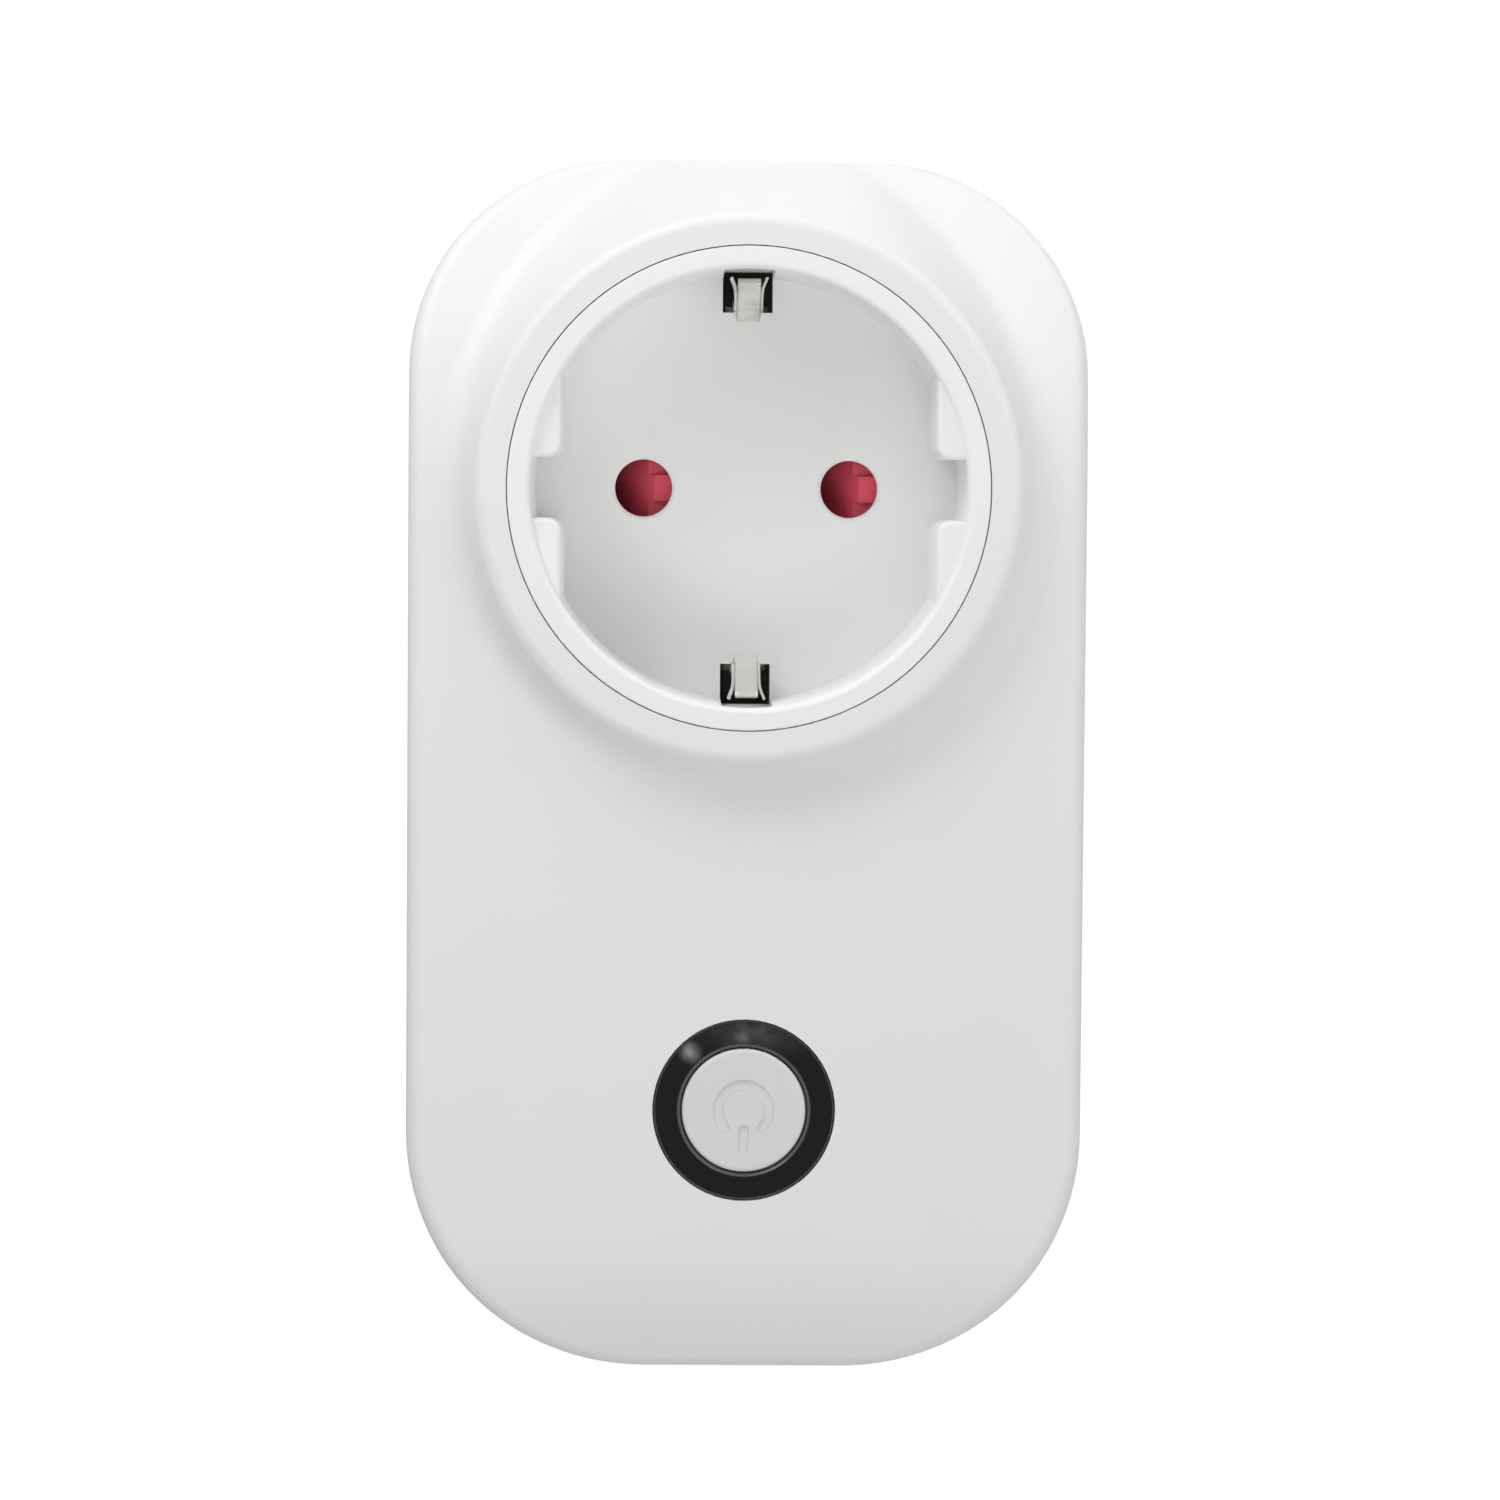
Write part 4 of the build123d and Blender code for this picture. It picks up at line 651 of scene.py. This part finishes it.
def printedFilm():
    # satin metal-look film; matt ink lies flat on it
    centre = middleOf("rating_label")
    low, high = edgesOf("rating_label")
    half = (high - low) / 2
    material, tree, shader, place = startMaterial("printedFilm", {"Roughness": 0.34, "Metallic": 0.35})
    offset = addNode(tree, "ShaderNodeVectorMath", {"operation": "SUBTRACT"}, {0: place, 1: centre})
    size = addNode(tree, "ShaderNodeVectorMath", {"operation": "ABSOLUTE"}, {0: offset.outputs["Vector"]})
    reach = addNode(tree, "ShaderNodeSeparateXYZ", links={"Vector": size.outputs["Vector"]})
    signed = addNode(tree, "ShaderNodeSeparateXYZ", links={"Vector": offset.outputs["Vector"]})
    fromEdge = []
    for axis, length in (("X", half.x), ("Z", half.z)):
        fromEdge.append(addNode(tree, "ShaderNodeMath", {"operation": "SUBTRACT"}, {
            0: length, 1: reach.outputs[axis]}).outputs[0])
    nearest = addNode(tree, "ShaderNodeMath", {"operation": "MINIMUM"}, {0: fromEdge[0], 1: fromEdge[1]})
    border = addNode(tree, "ShaderNodeMath", {"operation": "COMPARE"}, {
        0: nearest.outputs[0], 1: labelLook["frameInset"], 2: labelLook["frameWidth"] / 2})
    row = addNode(tree, "ShaderNodeMath", {"operation": "PINGPONG"}, {
        0: signed.outputs["Z"], 1: labelLook["barPitch"] / 2})
    inRow = addNode(tree, "ShaderNodeMath", {"operation": "LESS_THAN"}, {
        0: row.outputs[0], 1: labelLook["barPitch"] / 2 * labelLook["barShare"]})
    # each row has its own length, and changes it halfway between two bars
    between = addNode(tree, "ShaderNodeMath", {"operation": "ADD"}, {
        0: signed.outputs["Z"], 1: labelLook["barPitch"] / 2})
    rowNumber = addNode(tree, "ShaderNodeMath", {"operation": "SNAP"}, {
        0: between.outputs[0], 1: labelLook["barPitch"]})
    rowLength = addNode(tree, "ShaderNodeTexWhiteNoise", {"noise_dimensions": "1D"}, {
        "W": rowNumber.outputs[0]})
    barEnd = addNode(tree, "ShaderNodeMapRange", links={
        "Value": rowLength.outputs["Value"], "To Max": -labelLook["barField"][0]})
    inLength = addNode(tree, "ShaderNodeMath", {"operation": "GREATER_THAN"}, {
        0: signed.outputs["X"], 1: barEnd.outputs["Result"]})
    marks = [inRow.outputs[0], inLength.outputs[0]]
    for axis, limit in zip(("X", "Z"), labelLook["barField"]):
        marks.append(addNode(tree, "ShaderNodeMath", {"operation": "LESS_THAN"}, {
            0: reach.outputs[axis], 1: limit}).outputs[0])
    bars = marks[0]
    for mark in marks[1:]:
        bars = addNode(tree, "ShaderNodeMath", {"operation": "MULTIPLY"}, {0: bars, 1: mark}).outputs[0]
    ink = addNode(tree, "ShaderNodeMath", {"operation": "MAXIMUM"}, {0: bars, 1: border.outputs[0]})
    addNode(tree, "ShaderNodeMix", colourMix, {
        "Factor": ink.outputs[0], "A": labelLook["film"], "B": labelLook["ink"]},
        onward={"Result": shader.inputs["Base Color"]})
    raiseGrain(tree, shader, place, labelLook["grainSize"], labelLook["grainDepth"], 0.15, detail=2.0)
    return material


dress(printedFilm(), "rating_label")
print("boards and inner parts finished")


def makePiece(name, shape, material, replaced=(), smooth=True):
    # turns mesh code in millimetres into a piece that rides on the casing
    bmesh.ops.scale(shape, vec=(mm, mm, mm), verts=shape.verts)
    bmesh.ops.recalc_face_normals(shape, faces=shape.faces)
    mesh = bpy.data.meshes.new(name)
    shape.to_mesh(mesh)
    shape.free()
    mesh.materials.append(material)
    for polygon in mesh.polygons:
        polygon.use_smooth = smooth
    piece = bpy.data.objects.new(name, mesh)
    bpy.context.scene.collection.objects.link(piece)
    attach(piece, "casing")
    if replaced:
        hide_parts(*replaced)
    return piece


def sweepWire(shape, points, radius, sides):
    # a round wire along a row of points, closed at both ends
    rings = []
    normal = None
    for i, point in enumerate(points):
        ahead = (points[min(i + 1, len(points) - 1)] - points[max(i - 1, 0)]).normalized()
        if normal is None:
            normal = ahead.orthogonal().normalized()
        normal = (normal - ahead * normal.dot(ahead)).normalized()
        other = ahead.cross(normal)
        rings.append([
            shape.verts.new(point + radius * (math.cos(turn) * normal + math.sin(turn) * other))
            for turn in (2 * math.pi * k / sides for k in range(sides))])
    for first, second in zip(rings, rings[1:]):
        for k in range(sides):
            shape.faces.new((first[k], first[(k + 1) % sides], second[(k + 1) % sides], second[k]))
    shape.faces.new(rings[0])
    shape.faces.new(list(reversed(rings[-1])))


def turnProfile(shape, profile, centre, steps):
    # a closed profile of (radius, depth) turned about an axis along Y
    rings = []
    for k in range(steps):
        turn = 2 * math.pi * k / steps
        rings.append([
            shape.verts.new((centre.x + radius * math.cos(turn), depth, centre.z + radius * math.sin(turn)))
            for radius, depth in profile])
    for first, second in zip(rings, rings[1:] + rings[:1]):
        for j in range(len(profile)):
            after = (j + 1) % len(profile)
            shape.faces.new((first[j], first[after], second[after], second[j]))


def addBlock(shape, centre, size, bevel=0.0):
    # a block with its edges taken off
    sized = Matrix.Translation(centre) @ Matrix.Diagonal((*size, 1.0))
    made = bmesh.ops.create_cube(shape, size=1.0, matrix=sized)
    if bevel:
        edges = {edge for vertex in made["verts"] for edge in vertex.link_edges}
        bmesh.ops.bevel(shape, geom=list(edges), offset=bevel, segments=2, profile=0.6, affect="EDGES")


def addSheet(shape, rows, thickness):
    # a sheet through rows of points, given its thickness on the far side
    grid = [[shape.verts.new(point) for point in row] for row in rows]
    faces = []
    for first, second in zip(grid, grid[1:]):
        for k in range(len(first) - 1):
            faces.append(shape.faces.new((first[k], first[k + 1], second[k + 1], second[k])))
    bmesh.ops.recalc_face_normals(shape, faces=faces)
    bmesh.ops.solidify(shape, geom=faces, thickness=thickness)


def smoothLine(points, steps):
    # a curve through points, as rounded as a press brake leaves it
    line = []
    padded = [points[0], *points, points[-1]]
    for a, b, c, d in zip(padded, padded[1:], padded[2:], padded[3:]):
        for k in range(steps):
            t = k / steps
            bend = (2 * a - 5 * b + 4 * c - d) * t * t + (3 * b - a - 3 * c + d) * t ** 3
            line.append(0.5 * (2 * b + (c - a) * t + bend))
    line.append(points[-1])
    return line


# light ring: leans back very slightly from its inner lip, with a rounded outer edge
ringShape = {
    "outer": 8.15,
    "bore": 5.7,
    "lean": 0.22,  # fall of the face from the inner lip to the outer edge
    "lipDepth": 0.26,
    "lipWidth": 0.3,
    "outerRound": 0.22,
    "flangeFront": 2.0,  # from the ring's back; the flange catches behind the front shell
    "flangeBack": 1.0,
    "skirtOut": 0.4,  # the skirt behind the flange, outside and inside the ring's radius
    "skirtIn": 0.8,
}


def makeLightRing():
    low, high = edgesOf("light_ring")
    centre = (low + high) / 2
    front = low.y
    outer = ringShape["outer"]
    bore = ringShape["bore"]
    lipEnd = bore + ringShape["lipWidth"]
    flange = (high.x - low.x) / 2
    flangeFront = high.y - ringShape["flangeFront"]
    flangeBack = high.y - ringShape["flangeBack"]
    face = front + ringShape["lean"]
    roundEdge = [
        (outer - ringShape["outerRound"] * (1 - math.sin(turn)),
         face + ringShape["outerRound"] * (1 - math.cos(turn)))
        for turn in (math.radians(15 * k) for k in range(1, 7))]
    profile = [
        (bore, front + ringShape["lipDepth"] + 0.1),
        (bore + 0.02, front + ringShape["lipDepth"]),
        (lipEnd - 0.05, front + 0.03),
        (lipEnd + 0.03, front),
        (bore + 1.0, front + 0.05),
        (outer - 0.6, face - 0.06),
        (outer - ringShape["outerRound"], face),
        *roundEdge,
        (outer, flangeFront),
        (flange, flangeFront),
        (flange, flangeBack),
        (outer + ringShape["skirtOut"], flangeBack),
        (outer + ringShape["skirtOut"], high.y),
        (outer - ringShape["skirtIn"], high.y),
        (outer - ringShape["skirtIn"], flangeBack),
        (bore, flangeBack),
    ]
    shape = bmesh.new()
    turnProfile(shape, profile, centre, 128)
    makePiece("lightRing", shape, smokeFinish, ("light_ring",))


makeLightRing()

# where the socket insert meets the casing a little flash closes the joint just under the surface
seamBead = {"inner": 23.5, "outer": 23.6, "depth": 0.13, "length": 1.0, "steps": 192}


def makeSeamBead():
    front = edgesOf("socket_insert")[0].y + seamBead["depth"]
    back = front + seamBead["length"]
    inner = seamBead["inner"]
    outer = seamBead["outer"]
    shape = bmesh.new()
    turnProfile(shape, [(inner, front), (outer, front), (outer, back), (inner, back)],
                Vector((0, 0, 0)), seamBead["steps"])
    makePiece("seamBead", shape, insertFinish)


makeSeamBead()

# earth clips: one nickel-plated bronze strap folded up at both ends, each end a tab between two cheeks
clip = {
    "slotInner": 16.2,  # inner edge of the slots, from the socket's axis
    "tabHalfWidth": 1.04,
    "tipLength": 1.5,  # the tip narrows over this, to half the tab's width
    "flareStart": 13.4,  # behind the floor the tab widens towards the strap
    "flareLength": 4.0,
    "flareWidth": 0.35,
    "sheet": 0.34,
    "cheekSheet": 0.26,
    "cheekDepth": 3.2,
    "creaseDepth": 10.7,  # where the cheeks start, and how much nearer the front they are per height
    "cheekSlope": 1.42,
    "cheekLean": 0.12,
    "strapHalfWidth": 2.1,
    "strapSheet": 0.58,
    "strapPast": 1.0,  # how far the strap runs past the slots' inner edges
    "strapBevel": 0.12,
    # depth behind the rim, and height above the slot's inner edge, from the tip to the floor
    "path": ((8.55, 2.72), (7.65, 2.7), (7.2, 2.48), (7.22, 2.26), (7.45, 2.12),
             (8.9, 1.2), (10.3, 0.3), (10.5, 0.17), (10.62, 0.1), (10.9, 0.02), (12.8, -0.88),
             (13.5, -0.96), (15.0, -0.55), (17.0, 0.35), (19.5, 0.85), (23.0, 0.95)),
    # side of the cheek, and height, from the crease to its end near the wall
    "cheek": ((0.0, -0.2), (0.0, 0.8), (0.02, 1.5), (0.12, 2.05), (0.32, 2.55), (0.46, 2.86)),
}


def makeEarthClips():
    rim = edgesOf("socket_insert")[0].y
    strapMiddle = edgesOf("earth_clip_bracket")[1].y - 0.3
    slotInner = clip["slotInner"]
    shape = bmesh.new()
    for side in (-1, 1):
        path = smoothLine([Vector((0, rim + depth, side * (slotInner + rise)))
                           for depth, rise in clip["path"]], 5)
        tip = path[0]
        rows = []
        for point in path:
            if point.y >= strapMiddle:
                continue
            # the tip is rounded off across its last stretch
            run = abs(tip.z - point.z) + abs(tip.y - point.y)
            share = min(1.0, run / clip["tipLength"])
            width = clip["tabHalfWidth"] * (0.5 + 0.5 * math.sqrt(1 - (1 - share) ** 2))
            past = (point.y - rim - clip["flareStart"]) / clip["flareLength"]
            width += min(1.0, max(0.0, past)) * clip["flareWidth"]
            rows.append([Vector((width * k / 4, point.y, point.z)) for k in range(-4, 5)])
        addSheet(shape, rows, clip["sheet"])
        for hand in (-1, 1):
            cheekRows = []
            for flare, rise in smoothLine([Vector(point) for point in clip["cheek"]], 4):
                x = hand * (clip["tabHalfWidth"] + flare)
                z = side * (slotInner + rise)
                front = rim + clip["creaseDepth"] - max(0.0, rise) * clip["cheekSlope"]
                # the sheared front edge stands back a little
                depths = [clip["cheekLean"]] + [clip["cheekDepth"] * k / 4 for k in range(1, 5)]
                cheekRows.append([Vector((x, front + depth, z)) for depth in depths])
            addSheet(shape, cheekRows, clip["cheekSheet"])
    # the strap behind the shutter carrier
    strapSize = (2 * clip["strapHalfWidth"], clip["strapSheet"], 2 * (slotInner + clip["strapPast"]))
    addBlock(shape, Vector((0, strapMiddle, 0)), strapSize, clip["strapBevel"])
    makePiece("earthClips", shape, metalFinishes["satinNickelPlate"], ("earth_clip_bracket",))


makeEarthClips()

# return spring: cold-coiled wire between the shutter and the carrier's wall
spring = {"wire": 0.17, "sides": 10, "turns": 6, "steps": 26, "deadTurns": 1.0, "pressedShare": 0.365}


def makeSpring():
    low, high = edgesOf("shutter_spring")
    centre = (low + high) / 2
    wire = spring["wire"]  # its radius
    radius = (high.z - low.z) / 2 - wire
    span = high.x - low.x - 2 * wire - 4 * wire * spring["deadTurns"]
    count = int((spring["turns"] + 2 * spring["deadTurns"]) * spring["steps"])
    points = []
    for k in range(count + 1):
        turn = k / spring["steps"]
        # the end turns lie close together
        live = min(max(turn - spring["deadTurns"], 0.0), spring["turns"])
        x = low.x + wire + (turn - live) * 2 * wire + live / spring["turns"] * span
        angle = 2 * math.pi * turn
        points.append(Vector((x, centre.y + radius * math.cos(angle), centre.z + radius * math.sin(angle))))
    shape = bmesh.new()
    sweepWire(shape, points, wire, spring["sides"])
    piece = makePiece("returnSpring", shape, metalFinishes["drawnSpringSteel"],
                      ("shutter_spring",))
    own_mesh(piece)


makeSpring()

# solder joints behind the main board, where each part's leads come through
solder = {"radius": 0.85, "height": 0.6, "steps": 14, "levels": 6, "narrowing": 0.78, "headerPitch": 2.54}
leadPlaces = {
    # part: offsets of its leads from its centre
    "relay_case": ((-7.5, 5.5), (-7.5, -5.5), (7.5, 5.5), (7.5, -5.5), (7.5, 0.0)),
    "mains_capacitor": ((-5.0, 0.0), (5.0, 0.0)),
    "varistor": ((-2.5, 0.0), (2.5, 0.0)),
    "fuse": ((-3.75, 0.0), (3.75, 0.0)),
    "shunt": ((-3.0, 0.0), (3.0, 0.0)),
    "bulk_capacitor_1": ((-1.75, 0.0), (1.75, 0.0)),
    "bulk_capacitor_2": ((-1.75, 0.0), (1.75, 0.0)),
    "output_capacitor": ((-1.25, 0.0), (1.25, 0.0)),
    "transformer_coil": ((-3.0, 4.4), (0.0, 4.4), (3.0, 4.4), (-3.0, -4.4), (3.0, -4.4)),
    "header_pins": tuple((solder["headerPitch"] * (k - 2.5), 0.0) for k in range(6)),
}


def makeSolderJoints():
    boardBack = edgesOf("main_board")[1].y
    # a concave fillet up to the cut end of the lead
    profile = []
    for k in range(solder["levels"] + 1):
        share = k / solder["levels"]
        profile.append((solder["radius"] * (1 - solder["narrowing"] * share ** 0.5),
                        boardBack + solder["height"] * share))
    profile += [(0.02, boardBack + solder["height"] * 1.05), (0.02, boardBack)]
    shape = bmesh.new()
    for partName, offsets in leadPlaces.items():
        centre = middleOf(partName)
        for x, z in offsets:
            turnProfile(shape, profile, Vector((centre.x + x, 0, centre.z + z)), solder["steps"])
    makePiece("solderJoints", shape, metalFinishes["tinnedSteel"])


makeSolderJoints()

# small surface-mounted parts: dark bodies with bright ends
smallParts = {
    "size": (2.0, 0.55, 1.25),
    "endLength": 0.4,
    "plating": 0.04,
    # for each board, rows of parts: the first one's place, the step to the next and their number
    "main_board": ((-9.0, -75.0, 3.0, 7), (-12.0, -61.0, 3.2, 3), (-12.0, -64.0, 3.2, 3)),
    "control_board": ((-4.5, -46.2, 3.0, 4), (-4.5, -66.4, 3.0, 4)),
}


def makeSmallParts():
    bodies = bmesh.new()
    ends = bmesh.new()
    length, height, width = smallParts["size"]
    endLength = smallParts["endLength"]
    plating = smallParts["plating"]
    for boardName in ("main_board", "control_board"):
        front = edgesOf(boardName)[0].y
        for firstX, z, step, count in smallParts[boardName]:
            for k in range(count):
                middle = Vector((firstX + step * k, front - height / 2, z))
                addBlock(bodies, middle, (length - 2 * endLength, height, width), 0.05)
                for hand in (-1, 1):
                    # the plated ends stand a little proud of the body
                    shift = Vector((hand * (length - endLength) / 2, plating / 2, 0))
                    addBlock(ends, middle + shift, (endLength, height + plating, width + plating), 0.08)
    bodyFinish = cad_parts["metering_chip"].material_slots[0].material
    makePiece("smallPartBodies", bodies, bodyFinish, smooth=False)
    makePiece("smallPartEnds", ends, metalFinishes["tinnedSteel"], smooth=False)


makeSmallParts()

# tact switch: a steel cover with four staked corners over its body
cover = {"side": 5.7, "thickness": 0.14, "bore": 1.95, "cornerReach": 1.3, "steps": 48,
         "stakeRadius": 0.42, "stakeReach": 2.2, "stakeRise": 0.16, "stakeSteps": 20}


def domeProfile(radius, level, rise):
    # a shallow dome's profile towards the front, closed near its axis
    turns = [math.radians(15 * k) for k in range(6)]
    dome = [(radius * math.cos(turn), level - rise * math.sin(turn)) for turn in turns]
    return dome + [(0.01, level - rise), (0.01, level)]


def makeSwitchCover():
    low, high = edgesOf("switch_body")
    centre = (low + high) / 2
    front = low.y - cover["thickness"]
    shape = bmesh.new()
    # square outside, with its corners taken off, and round inside, in one ring of quads
    steps = cover["steps"]
    half = cover["side"] / 2
    rings = []
    for depth in (front, low.y):
        inner = []
        outer = []
        for k in range(steps):
            turn = 2 * math.pi * (k + 0.5) / steps
            reach = half / max(abs(math.cos(turn)), abs(math.sin(turn)))
            reach = min(reach, half * cover["cornerReach"])
            for ringOf, radius in ((inner, cover["bore"]), (outer, reach)):
                ringOf.append(shape.verts.new(
                    (centre.x + radius * math.cos(turn), depth, centre.z + radius * math.sin(turn))))
        rings += [inner, outer]
    frontInner, frontOuter, backInner, backOuter = rings
    for first, second in ((frontInner, frontOuter), (frontOuter, backOuter), (backOuter, backInner),
                          (backInner, frontInner)):
        for k in range(steps):
            after = (k + 1) % steps
            shape.faces.new((first[k], first[after], second[after], second[k]))
    for x in (-1, 1):
        for z in (-1, 1):
            place = Vector((centre.x + x * cover["stakeReach"], 0, centre.z + z * cover["stakeReach"]))
            turnProfile(shape, domeProfile(cover["stakeRadius"], front, cover["stakeRise"]), place,
                        cover["stakeSteps"])
    makePiece("switchCover", shape, metalFinishes["tinnedSteel"], smooth=False)


makeSwitchCover()

# diode windows: yellow phosphor set in each white package
phosphor = {"colour": "e8cf55", "second": "dcc045", "roughness": 0.25, "size": 0.3, "depth": 0.01,
            "radius": 0.8, "rise": 0.12, "steps": 24,
            "reach": 8.05}  # from the ring's axis


def makeDiodeWindows():
    front = edgesOf("ring_leds")[0].y
    centre = middleOf("light_ring")
    profile = domeProfile(phosphor["radius"], front, phosphor["rise"])
    shape = bmesh.new()
    for k in range(4):
        turn = math.radians(45 + 90 * k)
        place = centre + phosphor["reach"] * Vector((math.cos(turn), 0, math.sin(turn)))
        turnProfile(shape, profile, place, phosphor["steps"])
    makePiece("diodeWindows", shape, speckledSolid("phosphorSilicone", phosphor))


makeDiodeWindows()

# aerial: a folded copper track at the end of the radio module, plated with gold
aerial = {"width": 0.45, "thickness": 0.06, "pitch": 1.15, "reach": 2.4, "folds": 10, "inset": 3.3}


def makeAerial():
    low, high = edgesOf("radio_module")
    width = aerial["width"]
    thickness = aerial["thickness"]
    shape = bmesh.new()
    level = high.y + thickness / 2
    start = (low.x + high.x) / 2 - aerial["pitch"] * (aerial["folds"] - 1) / 2
    middle = high.z - aerial["inset"]
    for k in range(aerial["folds"]):
        x = start + k * aerial["pitch"]
        addBlock(shape, Vector((x, level, middle)), (width, thickness, 2 * aerial["reach"]))
        if k:
            end = middle + (aerial["reach"] - width / 2) * (1 if k % 2 else -1)
            addBlock(shape, Vector((x - aerial["pitch"] / 2, level, end)),
                     (aerial["pitch"] - width, thickness, width))
    makePiece("aerialTrack", shape, metalFinishes["stampedBrass"], smooth=False)


makeAerial()
print("small pieces made")
